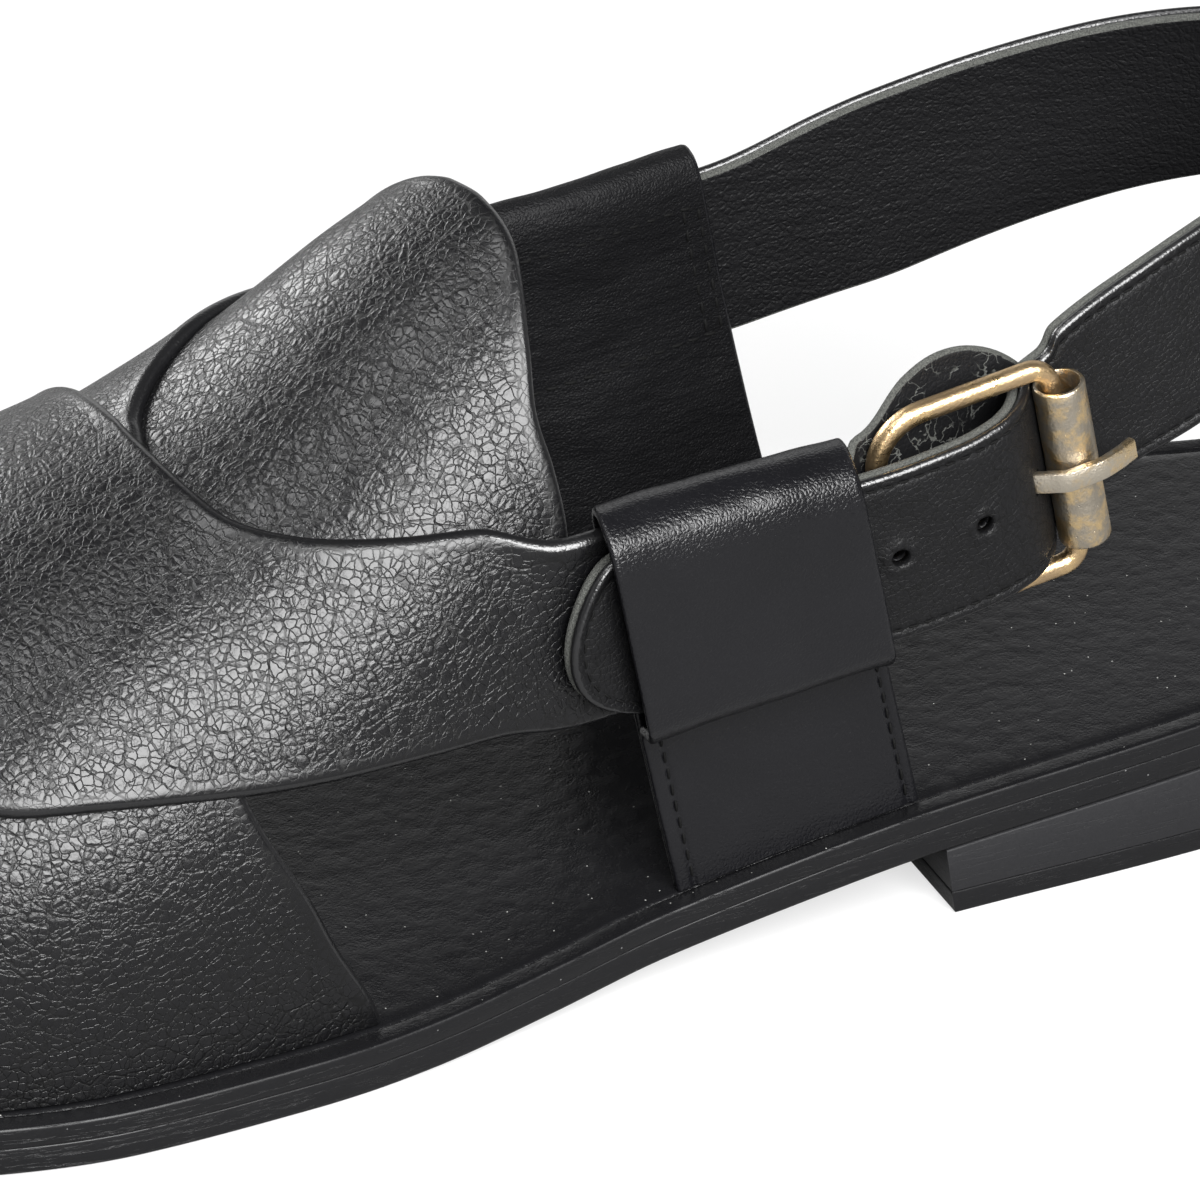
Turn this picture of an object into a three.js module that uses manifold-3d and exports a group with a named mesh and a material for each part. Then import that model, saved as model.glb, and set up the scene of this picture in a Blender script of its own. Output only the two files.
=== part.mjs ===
// Left peshawari chappal: two crossed straps and a tongue on a leather sole, with a buckled heel strap.
// Millimetres, +X to the toe, +Y to the outer side, +Z up, standing on z = 0.
import * as THREE from "three";
import { mergeVertices } from "three/addons/utils/BufferGeometryUtils.js";
import Module from "manifold-3d";

const wasm = await Module();
wasm.setup();

// Driving sizes of the last and the sole
const soleLength = 284;
const ballWidth = 98.7;
const instepHeight = 84;
const heelLength = 84.7;
const heelHeight = 9.7;
const seatRise = 6.1;
const toeSpring = 9;
const breastSlant = 1.5;
const outsoleThickness = 3.7;
const midsoleThickness = 2.7;
const liftThickness = 3.2;
const insoleThickness = 2.4;
const insoleRoll = 1.1;
const weltWidth = 6;
const gap = 0.3;

// Driving sizes of the leather pieces
const tongueLeather = 1.8;
const underLeather = 2.2;
const overLeather = 2.6;
const loopLeather = 1.4;
const loopWidth = 33.8;
const outerSeamHeight = 22;
const innerSeamHeight = 29;
const outerShift = 12;
const outerLean = 0.6;
const outerBow = -0.9;
const outerDrop = 1.5;
const outerLift = 1.5;
const pivotRise = 1.1;
const innerShift = 13;
const innerLean = -3.2;
const innerBow = 2.2;
const innerDrop = 1.7;
const innerLift = -0.5;
const heelStrapWidth = 24;
const heelStrapFlare = 1.3;
const flareLength = 50;
const heelStrapThickness = 2.8;
const tunnelPlay = 9.5;
const tunnelRoom = 3.2;
const tipReach = 7.6;
const tipRound = 12;
const strapHole = 2.4;
const holePitch = 11.3;
const holeOffset = 0.9;

// Driving sizes of the buckle
const wire = 2.6;
const pivotReach = 3.4;
const windowPlay = 1.1;
const buckleReach = 25;
const frameRise = 0.8;
const frameTilt = 12;
const frameSwing = 2.8;
const nearCorner = 7;
const farCorner = 2.6;
const rollerDiameter = 6.6;
const rollerWall = 0.6;
const prongWidth = 2.8;
const prongThickness = 1.2;
const flapThickness = 1.3;
const flapWidth = 29;
const flapTaper = 2.4;
const flapClimb = 7.1;
const strapClimb = 3;
const wrapLeather = 0.9;
const wrapLength = 6.4;

// Outline of the sole: lengths as shares of soleLength, half widths as shares of ballWidth
const outline = [
  { along: 0.06, outer: 0.286, inner: 0.294 },
  { along: 0.12, outer: 0.337, inner: 0.342 },
  { along: 0.2, outer: 0.359, inner: 0.336 },
  { along: 0.28, outer: 0.369, inner: 0.314 },
  { along: 0.36, outer: 0.382, inner: 0.284 },
  { along: 0.44, outer: 0.395, inner: 0.289 },
  { along: 0.5, outer: 0.4255, inner: 0.319 },
  { along: 0.56, outer: 0.46, inner: 0.375 },
  { along: 0.62, outer: 0.485, inner: 0.446 },
  { along: 0.7, outer: 0.4975, inner: 0.5025 },
  { along: 0.8, outer: 0.445, inner: 0.49 },
  { along: 0.9, outer: 0.319, inner: 0.39 },
];
const heelRoundness = 2.2;
const toeRoundness = 1.55;
const treadStart = 0.597;
const treadEnd = 0.754;

// Top of the last above the sole: shares of soleLength and of instepHeight
const crown = [
  { along: 0.317, height: 1.071 },
  { along: 0.44, height: 1.046 },
  { along: 0.482, height: 0.996 },
  { along: 0.521, height: 0.94 },
  { along: 0.553, height: 0.873 },
  { along: 0.574, height: 0.824 },
  { along: 0.606, height: 0.749 },
  { along: 0.634, height: 0.694 },
  { along: 0.676, height: 0.636 },
  { along: 0.743, height: 0.549 },
  { along: 0.792, height: 0.495 },
  { along: 0.845, height: 0.423 },
  { along: 0.908, height: 0.318 },
];
const sectionPower = 2.4;
const ridgeOffset = 0.0304;
const sideBulge = 0.055;
const archBelly = 0.058;

// Strap edges on the last: shares of soleLength, and degrees round the section from the outer side
const overStrap = [
  { rear: 0.581, rearTurn: 180, front: 0.838, frontTurn: 180 },
  { rear: 0.606, rearTurn: 164, front: 0.827, frontTurn: 150 },
  { rear: 0.627, rearTurn: 145, front: 0.813, frontTurn: 115 },
  { rear: 0.634, rearTurn: 124, front: 0.803, frontTurn: 88 },
  { rear: 0.631, rearTurn: 105, front: 0.789, frontTurn: 66 },
  { rear: 0.628, rearTurn: 90, front: 0.768, frontTurn: 51 },
  { rear: 0.624, rearTurn: 80.5, front: 0.737, frontTurn: 41.5 },
  { rear: 0.613, rearTurn: 67.5, front: 0.698, frontTurn: 37 },
  { rear: 0.589, rearTurn: 57.5, front: 0.638, frontTurn: 31 },
  { rear: 0.553, rearTurn: 48.5, front: 0.57, frontTurn: 24.5 },
  { rear: 0.513, rearTurn: 41.5, front: 0.524, frontTurn: 20.5 },
  { rear: 0.469, rearTurn: 35, front: 0.45, frontTurn: 15 },
  { rear: 0.411, rearTurn: 27, front: 0.397, frontTurn: 12.5 },
];
const underStrap = [
  { rear: 0.581, rearTurn: 0, front: 0.838, frontTurn: 0 },
  { rear: 0.602, rearTurn: 8, front: 0.834, frontTurn: 12 },
  { rear: 0.614, rearTurn: 15, front: 0.831, frontTurn: 25 },
  { rear: 0.637, rearTurn: 30.5, front: 0.822, frontTurn: 45 },
  { rear: 0.648, rearTurn: 50, front: 0.813, frontTurn: 65 },
  { rear: 0.641, rearTurn: 72, front: 0.801, frontTurn: 92 },
  { rear: 0.628, rearTurn: 85, front: 0.789, frontTurn: 108 },
  { rear: 0.621, rearTurn: 91, front: 0.768, frontTurn: 126 },
  { rear: 0.607, rearTurn: 98, front: 0.739, frontTurn: 138 },
  { rear: 0.583, rearTurn: 107.5, front: 0.69, frontTurn: 146 },
  { rear: 0.548, rearTurn: 121, front: 0.616, frontTurn: 152 },
  { rear: 0.497, rearTurn: 134, front: 0.528, frontTurn: 156 },
  { rear: 0.42, rearTurn: 144, front: 0.42, frontTurn: 160 },
];
const tongue = [
  { rear: 0.483, rearTurn: 28, front: 0.514, frontTurn: 28 },
  { rear: 0.48, rearTurn: 36, front: 0.528, frontTurn: 36 },
  { rear: 0.482, rearTurn: 43, front: 0.563, frontTurn: 43 },
  { rear: 0.485, rearTurn: 50, front: 0.592, frontTurn: 50 },
  { rear: 0.481, rearTurn: 58.5, front: 0.627, frontTurn: 58.5 },
  { rear: 0.473, rearTurn: 74, front: 0.662, frontTurn: 74 },
  { rear: 0.475, rearTurn: 84, front: 0.676, frontTurn: 84 },
  { rear: 0.484, rearTurn: 95, front: 0.669, frontTurn: 95 },
  { rear: 0.493, rearTurn: 105, front: 0.641, frontTurn: 105 },
  { rear: 0.5, rearTurn: 120, front: 0.592, frontTurn: 120 },
  { rear: 0.493, rearTurn: 136, front: 0.535, frontTurn: 136 },
  { rear: 0.479, rearTurn: 148, front: 0.5, frontTurn: 148 },
];

// The loops: rear edge as a share of soleLength, then how far the top is shifted to the toe,
// how far it leans inward, how far the wall bows outward, how far the rear of the top drops
// and its front rises, and how far to the toe the wall slides for each millimetre outward
const outerLoop = {
  side: 1, rear: 0.3115, seam: outerSeamHeight, shift: outerShift, lean: outerLean, bow: outerBow, drop: outerDrop,
  lift: outerLift, slide: 0.17,
};
const innerLoop = {
  side: -1, rear: 0.28, seam: innerSeamHeight, shift: innerShift, lean: innerLean, bow: innerBow, drop: innerDrop,
  lift: innerLift, slide: 0,
};
// Outer face of the tunnel part, from the seam over the fold: shares of its depth and height
const loopFold = [
  { out: 0.5, up: 0.035 },
  { out: 0.82, up: 0.085 },
  { out: 0.97, up: 0.16 },
  { out: 1, up: 0.36 },
  { out: 1, up: 0.62 },
  { out: 0.98, up: 0.8 },
  { out: 0.89, up: 0.91 },
  { out: 0.68, up: 0.975 },
  { out: 0.45, up: 1 },
  { out: 0.22, up: 0.985 },
  { out: 0.07, up: 0.94 },
  { out: 0, up: 0.86 },
];

// Middle line of the heel strap from behind the buckle round the heel to the inner loop:
// shares of soleLength, of ballWidth and of instepHeight above the sole, and the inward lean in degrees
const heelStrapLine = [
  { along: 0.197, across: 0.291, height: 0.622, lean: 8 },
  { along: 0.165, across: 0.278, height: 0.656, lean: 10 },
  { along: 0.123, across: 0.243, height: 0.687, lean: 12 },
  { along: 0.081, across: 0.177, height: 0.704, lean: 14 },
  { along: 0.049, across: 0.091, height: 0.709, lean: 15 },
  { along: 0.037, across: 0, height: 0.71, lean: 16 },
  { along: 0.049, across: -0.101, height: 0.705, lean: 15 },
  { along: 0.0845, across: -0.1975, height: 0.69, lean: 13 },
  { along: 0.134, across: -0.2634, height: 0.662, lean: 9 },
  { along: 0.194, across: -0.3, height: 0.623, lean: 4 },
  { along: 0.2535, across: -0.313, height: 0.584, lean: 1 },
];

// Sizes that follow from the driving ones
const soleThickness = outsoleThickness + gap + midsoleThickness;
const seatSlope = seatRise / heelLength;
const strapHalf = heelStrapWidth / 2;
const tunnelHeight = heelStrapWidth + tunnelPlay;
const strapOnLoop = loopLeather + 2 * gap + heelStrapThickness / 2;
const strapOverLoop = strapOnLoop + overLeather + gap;
const outerTunnel = overLeather + heelStrapThickness + tunnelRoom;
const innerTunnel = Math.max(underLeather, heelStrapThickness) + 0.6 * tunnelRoom;
const flapOnLoop = loopLeather + 3.5 * gap + flapThickness / 2;
const pin = wire / 2;
const rollerRadius = rollerDiameter / 2;
const rollerShift = rollerRadius - rollerWall - pin - gap;
const windowHalf = strapHalf + windowPlay;
const frameHalf = windowHalf + pin;
const strapOverPin = pin + gap + prongThickness + gap + heelStrapThickness / 2;
const strapRoundRoller = rollerRadius + gap + heelStrapThickness / 2;
const flapUnderPin = pin + gap + flapThickness / 2;
const flapUnderRoller = strapRoundRoller + heelStrapThickness / 2 + 2 * gap + flapThickness / 2;

const degrees = Math.PI / 180;
const vector = (x, y, z) => new THREE.Vector3(x, y, z);
const sequence = (count, make) => Array.from({ length: count }, (_, i) => make(i));

function clamp(value, low, high) {
  return Math.min(high, Math.max(low, value));
}

// Soft step from 0 at one value to 1 at the other
function smooth(value, from, to) {
  const t = clamp((value - from) / (to - from), 0, 1);
  return t * t * (3 - 2 * t);
}

// Smooth curve through the rows of a table that never swings past its rows
function curveThrough(positions, values) {
  const last = positions.length - 1;
  const slopes = sequence(last, (i) => (values[i + 1] - values[i]) / (positions[i + 1] - positions[i]));
  const tangents = values.map((_, i) => {
    if (i === 0) return slopes[0];
    if (i === last) return slopes[last - 1];
    if (slopes[i - 1] * slopes[i] <= 0) return 0;
    return 2 * slopes[i - 1] * slopes[i] / (slopes[i - 1] + slopes[i]);
  });
  return (position) => {
    const at = clamp(position, positions[0], positions[last]);
    let i = 0;
    while (i < last - 1 && at > positions[i + 1]) i += 1;
    const span = positions[i + 1] - positions[i];
    const t = (at - positions[i]) / span;
    const u = 1 - t;
    return values[i] * (1 + 2 * t) * u * u + tangents[i] * span * t * u * u
      + values[i + 1] * t * t * (3 - 2 * t) - tangents[i + 1] * span * t * t * u;
  };
}

function column(table, key, scale = 1) {
  return table.map((row) => row[key] * scale);
}

// Curve through a table's column with its rows spread evenly from 0 to 1
function evenCurve(table, key, scale = 1) {
  const positions = table.map((_, i) => i / (table.length - 1));
  return curveThrough(positions, column(table, key, scale));
}

// Body of corners and triangles: doubled corners merged, flat triangles dropped, faces turned outward
function closedBody(corners, faces) {
  const loose = new THREE.BufferGeometry();
  loose.setAttribute("position", new THREE.Float32BufferAttribute(corners.flatMap((p) => p.toArray()), 3));
  loose.setIndex(faces.flat());
  const merged = mergeVertices(loose, 1e-3);
  const at = (i) => new THREE.Vector3().fromBufferAttribute(merged.attributes.position, i);
  const kept = [];
  let volume = 0;
  for (let k = 0; k < merged.index.count; k += 3) {
    const [a, b, c] = [0, 1, 2].map((step) => merged.index.getX(k + step));
    if (a !== b && b !== c && c !== a) {
      kept.push([a, b, c]);
      volume += at(a).dot(at(b).cross(at(c)));
    }
  }
  merged.setIndex(kept.flatMap(([a, b, c]) => (volume > 0 ? [a, b, c] : [a, c, b])));
  return merged;
}

// Closed body between two grids of points of the same size
function gridBody(front, back) {
  const rows = front.length;
  const columns = front[0].length;
  const corners = [...front.flat(), ...back.flat()];
  const index = (i, j, layer) => layer * rows * columns + i * columns + j;
  const faces = [];
  const quad = (a, b, c, d) => faces.push([a, b, c], [a, c, d]);
  for (let i = 0; i < rows - 1; i += 1) {
    for (let j = 0; j < columns - 1; j += 1) {
      quad(index(i, j, 0), index(i + 1, j, 0), index(i + 1, j + 1, 0), index(i, j + 1, 0));
      quad(index(i, j, 1), index(i, j + 1, 1), index(i + 1, j + 1, 1), index(i + 1, j, 1));
    }
    const edge = columns - 1;
    quad(index(i, 0, 0), index(i, 0, 1), index(i + 1, 0, 1), index(i + 1, 0, 0));
    quad(index(i, edge, 0), index(i + 1, edge, 0), index(i + 1, edge, 1), index(i, edge, 1));
  }
  for (let j = 0; j < columns - 1; j += 1) {
    const end = rows - 1;
    quad(index(0, j, 0), index(0, j + 1, 0), index(0, j + 1, 1), index(0, j, 1));
    quad(index(end, j, 0), index(end, j, 1), index(end, j + 1, 1), index(end, j + 1, 0));
  }
  return closedBody(corners, faces);
}

function toSolid(geometry) {
  return new wasm.Manifold(new wasm.Mesh({
    numProp: 3,
    vertProperties: new Float32Array(geometry.attributes.position.array),
    triVerts: new Uint32Array(geometry.index.array),
  }));
}

function toGeometry(solid) {
  const mesh = solid.getMesh();
  const geometry = new THREE.BufferGeometry();
  geometry.setAttribute("position", new THREE.Float32BufferAttribute(mesh.vertProperties, 3));
  geometry.setIndex(Array.from(mesh.triVerts));
  return geometry;
}

function joined(geometries) {
  return toGeometry(geometries.map(toSolid).reduce((whole, next) => whole.add(next)));
}

function cut(geometry, tools) {
  return toGeometry(tools.map(toSolid).reduce((whole, tool) => whole.subtract(tool), toSolid(geometry)));
}

// Half width of the sole at x on one side, closed by round ends
const halfCurves = {
  outer: curveThrough(column(outline, "along", soleLength), column(outline, "outer", ballWidth)),
  inner: curveThrough(column(outline, "along", soleLength), column(outline, "inner", ballWidth)),
};
function halfWidth(x, side) {
  const half = side > 0 ? halfCurves.outer : halfCurves.inner;
  const heelEnd = outline[0].along * soleLength;
  const toeEnd = outline[outline.length - 1].along * soleLength;
  const back = clamp((heelEnd - x) / heelEnd, 0, 1);
  const ahead = clamp((x - toeEnd) / (soleLength - toeEnd), 0, 1);
  return half(x) * Math.sqrt(1 - back ** heelRoundness) * Math.sqrt(1 - ahead ** toeRoundness);
}

// The heel seat's slanted plane
function heelSeat(x) {
  return heelHeight + (heelLength - x) * seatSlope;
}

// Underside of the outsole: heel seat, arch, flat tread and toe spring
function soleBottom(x) {
  if (x < heelLength) return heelSeat(x);
  const treadX = treadStart * soleLength;
  const springX = treadEnd * soleLength;
  const span = treadX - heelLength;
  const t = clamp((treadX - x) / span, 0, 1);
  const arch = heelHeight * (3 * t * t - 2 * t ** 3) + seatSlope * span * (t ** 3 - t * t);
  return arch + toeSpring * clamp((x - springX) / (soleLength - springX), 0, 1) ** 2;
}

function soleTop(x) {
  return soleBottom(x) + soleThickness;
}

// Point of the sole's outline, a turn from heel (0) to toe (1) on one side, moved inward by the inset
function outlinePoint(turn, side, inset) {
  if (turn <= 0) return new THREE.Vector2(inset, 0);
  if (turn >= 1) return new THREE.Vector2(soleLength - inset, 0);
  const at = (q) => {
    const x = soleLength * (1 - Math.cos(Math.PI * q)) / 2;
    return new THREE.Vector2(x, side * halfWidth(x, side));
  };
  const step = 1e-3;
  const along = at(Math.min(1, turn + step)).sub(at(Math.max(0, turn - step))).normalize();
  return at(turn).add(new THREE.Vector2(along.y, -along.x).multiplyScalar(side * inset));
}

// Layer of the sole between two heights; shares run from the inner (-1) to the outer edge (1)
const soleTurns = sequence(53, (i) => i / 52);
function soleLayer(inset, shares, bottomOf, topOf) {
  const grid = (heightOf) => soleTurns.map((turn) => shares.map((share) => {
    const inner = outlinePoint(turn, -1, inset);
    const place = inner.lerp(outlinePoint(turn, 1, inset), (share + 1) / 2);
    return vector(place.x, place.y, heightOf(place.x, share, turn));
  }));
  return gridBody(grid(topOf), grid(bottomOf));
}

function outsole() {
  return soleLayer(0, [-1, 1], soleBottom, (x) => soleBottom(x) + outsoleThickness);
}

function midsole() {
  return soleLayer(0, [-1, 1], (x) => soleTop(x) - midsoleThickness, soleTop);
}

// Sock on the midsole, with a rolled edge and a slight dish
function insole() {
  const bottomOf = (x) => soleTop(x) + gap;
  const topOf = (x, share, turn) => {
    const edge = smooth(Math.abs(share), 1, 0.94);
    const roll = smooth(Math.abs(share), 0.6, 0.92);
    const inside = clamp(Math.sin(Math.PI * turn) * 6, 0, 1);
    const rounded = insoleThickness * (0.6 + 0.4 * edge) + insoleRoll * roll * edge;
    return bottomOf(x) + THREE.MathUtils.lerp(insoleThickness * 0.6, rounded, inside);
  };
  return soleLayer(weltWidth + 2 * gap, [-1, -0.94, -0.82, -0.45, 0.45, 0.82, 0.94, 1], bottomOf, topOf);
}

// Part of the heel between two heights; the breast slants to the toe from the floor to the seat
function heelPart(bottomOf, topOf, lowSlant, highSlant) {
  const lastTurn = Math.acos(1 - 2 * heelLength / soleLength) / Math.PI;
  const count = 20;
  const turns = sequence(count + 1, (i) => lastTurn * i / count);
  const grid = (heightOf, slant) => turns.map((turn) => [-1, 1].map((side) => {
    const place = outlinePoint(turn, side, 0);
    const x = place.x + slant * (place.x / heelLength) ** 4;
    return vector(x, place.y, heightOf(x));
  }));
  return gridBody(grid(topOf, highSlant), grid(bottomOf, lowSlant));
}

function heelBlock() {
  const low = breastSlant * (liftThickness + gap) / heelHeight;
  return heelPart(() => liftThickness + gap, (x) => heelSeat(x) - gap, low, breastSlant);
}

function heelLift() {
  return heelPart(() => 0, () => liftThickness, 0, breastSlant * liftThickness / heelHeight);
}

// Top of the last at x, and its surface turned from the outer side (0) over the top to the inner side (180)
const crownHeight = curveThrough(column(crown, "along", soleLength), column(crown, "height", instepHeight));
function lastPoint(x, turn) {
  const side = turn <= 90 ? 1 : -1;
  const share = x / soleLength;
  const ridge = -ridgeOffset * ballWidth * (1 - 0.4 * smooth(share, 0.56, 1));
  const reach = halfWidth(x, side) - weltWidth - side * ridge;
  const rise = Math.min(turn, 180 - turn);
  const bulge = 1 + sideBulge * Math.sin(2 * rise * degrees) * clamp((0.704 - share) / 0.21, 0, 1);
  const narrow = side < 0 ? 1 - smooth(share, 0.43, 0.58) : 0;
  const belly = archBelly * ballWidth * narrow * Math.sin(Math.PI * (rise / 90) ** 0.6);
  const across = Math.abs(Math.cos(turn * degrees)) ** (2 / sectionPower);
  const up = Math.abs(Math.sin(turn * degrees)) ** (2 / sectionPower);
  const y = ridge + side * (reach * bulge * across + belly);
  return vector(x, y, soleTop(x) + gap + crownHeight(x) * up);
}

// Point off the last's surface by a thickness; at the welt it moves sideways only
function offLast(x, turn, off) {
  const step = 1.2;
  const held = clamp(turn, 2 * step, 180 - 2 * step);
  const along = lastPoint(x + 0.5, held).sub(lastPoint(x - 0.5, held));
  const round = lastPoint(x, held + step).sub(lastPoint(x, held - step));
  const normal = round.cross(along).normalize();
  normal.z *= smooth(Math.min(turn, 180 - turn), 0, 6);
  return lastPoint(x, turn).addScaledVector(normal.normalize(), off);
}

// Place in a loop: u from its rear (0) to its front edge (1), n outward from its inner face, h up from its foot
function loopPoint(loop, u, n, h) {
  const footX = loop.rear * soleLength + u * loopWidth;
  const share = h / (loop.seam + tunnelHeight);
  const place = footX + loop.shift * share + loop.slide * n;
  const sunk = share * THREE.MathUtils.lerp(loop.drop, -loop.lift, u);
  const bow = loop.bow * Math.sin(Math.PI * clamp(share, 0, 1));
  const y = halfWidth(footX, loop.side) - weltWidth + gap - loop.lean * share + bow + n;
  return vector(place, loop.side * y, soleTop(footX) + gap + h - sunk);
}

// Share of a loop's width at x, seen at the middle of its tunnel
function loopShare(loop, x) {
  const share = (loop.seam + tunnelHeight / 2) / (loop.seam + tunnelHeight);
  return (x - loop.shift * share - loop.rear * soleLength) / loopWidth;
}

// Place in a loop's tunnel, w up from the tunnel's middle
function tunnelPoint(loop, u, n, w) {
  return loopPoint(loop, u, n, loop.seam + tunnelHeight / 2 + w);
}

// Strap between a rear and a front edge on the last, its inner face lifted off the last by liftOf.
// Toward its end it moves into the tunnel of its loop.
function strapBody(table, rows, columns, thickness, liftOf, loop) {
  const rear = evenCurve(table, "rear", soleLength);
  const rearTurn = evenCurve(table, "rearTurn");
  const front = evenCurve(table, "front", soleLength);
  const frontTurn = evenCurve(table, "frontTurn");
  const grid = (extra) => sequence(rows + 1, (i) => sequence(columns + 1, (j) => {
    const t = i / rows;
    const s = j / columns;
    const x = THREE.MathUtils.lerp(rear(t), front(t), s);
    const turn = THREE.MathUtils.lerp(rearTurn(t), frontTurn(t), s);
    const place = offLast(x, turn, liftOf(t, s) + extra);
    if (!loop) return place;
    const u = loopShare(loop, x);
    const into = smooth(u, 1.52, 1.03) * smooth(t, 0.5, 0.73);
    const seat = tunnelPoint(loop, u, loopLeather + gap + extra, tunnelHeight * (0.395 - 0.755 * s));
    return place.lerp(seat, into);
  }));
  return gridBody(grid(thickness), grid(0));
}

// The straps and the tongue, joined where they cross: each lies a little into the leather below it
function upper() {
  const bedded = 2 * gap;
  const onTongue = tongueLeather - bedded;
  const onUnder = onTongue + underLeather - bedded;
  const tongueBody = strapBody(tongue, 22, 12, tongueLeather, () => 0);
  const underLift = (t) => onTongue * smooth(t, 0, 0.3);
  const underBody = strapBody(underStrap, 34, 9, underLeather, underLift, innerLoop);
  const overLift = (t, s) => {
    const settled = onTongue * smooth(t, 0, 0.15) * (1 - smooth(t, 0.7, 1) * (0.4 + 0.5 * s));
    return settled + (onUnder - onTongue) * smooth(t, 0, 0.25) * (1 - smooth(t, 0.5, 0.75));
  };
  const overBody = strapBody(overStrap, 34, 9, overLeather, overLift, outerLoop);
  return joined([tongueBody, underBody, overBody]);
}

// Folded band with a tunnel above a seam, below which its two layers are sewn together
function loopBody(loop, tunnelDepth) {
  const depth = tunnelDepth + 2 * loopLeather;
  const at = (n, h) => new THREE.Vector2(n, h);
  const fold = loopFold.map((row) => at(row.out * depth, loop.seam + row.up * tunnelHeight));
  const outer = [
    at(0, 0),
    at(2 * loopLeather, 0),
    at(2 * loopLeather, loop.seam / 2),
    at(2 * loopLeather, loop.seam),
    ...fold,
    at(0, loop.seam + tunnelHeight / 2),
    at(0, loop.seam / 2),
  ];
  const inset = fold.slice(0, -1).map((corner, i) => {
    const along = fold[i + 1].clone().sub(fold[Math.max(0, i - 1)]).normalize();
    return corner.clone().add(at(-along.y, along.x).multiplyScalar(loopLeather));
  });
  const tunnel = [
    ...inset.filter((corner) => corner.x > 1.15 * loopLeather),
    at(loopLeather, loop.seam + 0.9 * tunnelHeight),
    at(loopLeather, loop.seam + tunnelHeight / 2),
    at(loopLeather, loop.seam + 0.05 * tunnelHeight),
  ];
  const rings = [outer, tunnel.reverse()];
  return sweptBody(rings, 8, (share, corner) => loopPoint(loop, share, corner.x, corner.y));
}

// Outline with a hole that is listed the other way round, carried from share 0 to 1 by placeOf and closed at both ends
function sweptBody(rings, steps, placeOf) {
  const ringSize = rings[0].length + rings[1].length;
  const corners = sequence(steps + 1, (i) => rings.flat().map((corner) => placeOf(i / steps, corner))).flat();
  const faces = [];
  let start = 0;
  rings.forEach((ring) => {
    for (let i = 0; i < steps; i += 1) {
      for (let j = 0; j < ring.length; j += 1) {
        const a = i * ringSize + start + j;
        const b = i * ringSize + start + (j + 1) % ring.length;
        faces.push([a, b, b + ringSize], [a, b + ringSize, a + ringSize]);
      }
    }
    start += ring.length;
  });
  const end = steps * ringSize;
  THREE.ShapeUtils.triangulateShape(rings[0], [rings[1]]).forEach(([a, b, c]) => {
    faces.push([a, c, b], [a + end, b + end, c + end]);
  });
  return closedBody(corners, faces);
}

// The buckle stands on its pivot bar behind the outer loop, parallel to the loop's rear edge
const pivotPlace = strapOverLoop + tunnelRoom / 2 - strapOverPin;
const pivot = tunnelPoint(outerLoop, -pivotReach / loopWidth, pivotPlace, pivotRise);
const frameAlong = vector(-Math.cos(frameTilt * degrees), Math.tan(frameSwing * degrees),
  Math.sin(frameTilt * degrees)).normalize();
const frameUp = vector(Math.sin(frameTilt * degrees), 0, Math.cos(frameTilt * degrees));
const frameOut = frameAlong.clone().cross(frameUp).normalize();

// Place at the buckle: u from the pivot bar to the roller, v up, n outward
function bucklePoint(u, v, n) {
  return pivot.clone().addScaledVector(frameAlong, u).addScaledVector(frameUp, v).addScaledVector(frameOut, n);
}

// Station at the buckle, its row turned back by an angle
function buckleStation(u, v, n, turn = 0) {
  const across = frameUp.clone().multiplyScalar(Math.cos(turn * degrees));
  return { middle: bucklePoint(u, v, n), across: across.addScaledVector(frameAlong, -Math.sin(turn * degrees)) };
}

// Station in a loop's tunnel, its row parallel to the loop's edges
function tunnelStation(loop, u, n) {
  const across = tunnelPoint(loop, u, n, strapHalf).sub(tunnelPoint(loop, u, n, -strapHalf)).normalize();
  return { middle: tunnelPoint(loop, u, n, 0), across };
}

// Station of the heel strap's table, its row square to the line and leaning inward
function lineStation(row, i) {
  const place = (at) => {
    const x = at.along * soleLength;
    return vector(x, at.across * ballWidth, soleTop(x) + at.height * instepHeight);
  };
  const last = heelStrapLine.length - 1;
  const before = place(heelStrapLine[Math.max(0, i - 1)]);
  const along = place(heelStrapLine[Math.min(last, i + 1)]).sub(before).normalize();
  const up = vector(0, 0, 1).addScaledVector(along, -along.z).normalize();
  const out = along.cross(up);
  const lean = row.lean * degrees;
  return { middle: place(row), across: up.multiplyScalar(Math.cos(lean)).addScaledVector(out, -Math.sin(lean)) };
}

// Ribbon through stations: a frame at each place along it, and rows no further apart than a step
function ribbonThrough(stations, step) {
  const knots = [0];
  stations.slice(1).forEach(({ middle }, i) => knots.push(knots[i] + middle.distanceTo(stations[i].middle)));
  const curve = (key, axis) => curveThrough(knots, stations.map((station) => station[key][axis]));
  const [middle, across] = ["middle", "across"].map((key) => {
    const [x, y, z] = ["x", "y", "z"].map((axis) => curve(key, axis));
    return (s) => vector(x(s), y(s), z(s));
  });
  const total = knots[knots.length - 1];
  const frameAt = (s) => {
    const ahead = middle(Math.min(total, s + 0.3));
    const along = ahead.sub(middle(Math.max(0, s - 0.3))).normalize();
    const row = across(s).normalize();
    return { s, middle: middle(s), across: row, out: along.cross(row).normalize() };
  };
  const places = knots.slice(1).flatMap((knot, i) => {
    const count = Math.ceil((knot - knots[i]) / step);
    return sequence(count, (k) => THREE.MathUtils.lerp(knots[i], knot, (k + 1) / count));
  });
  return { frameAt, places };
}

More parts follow.
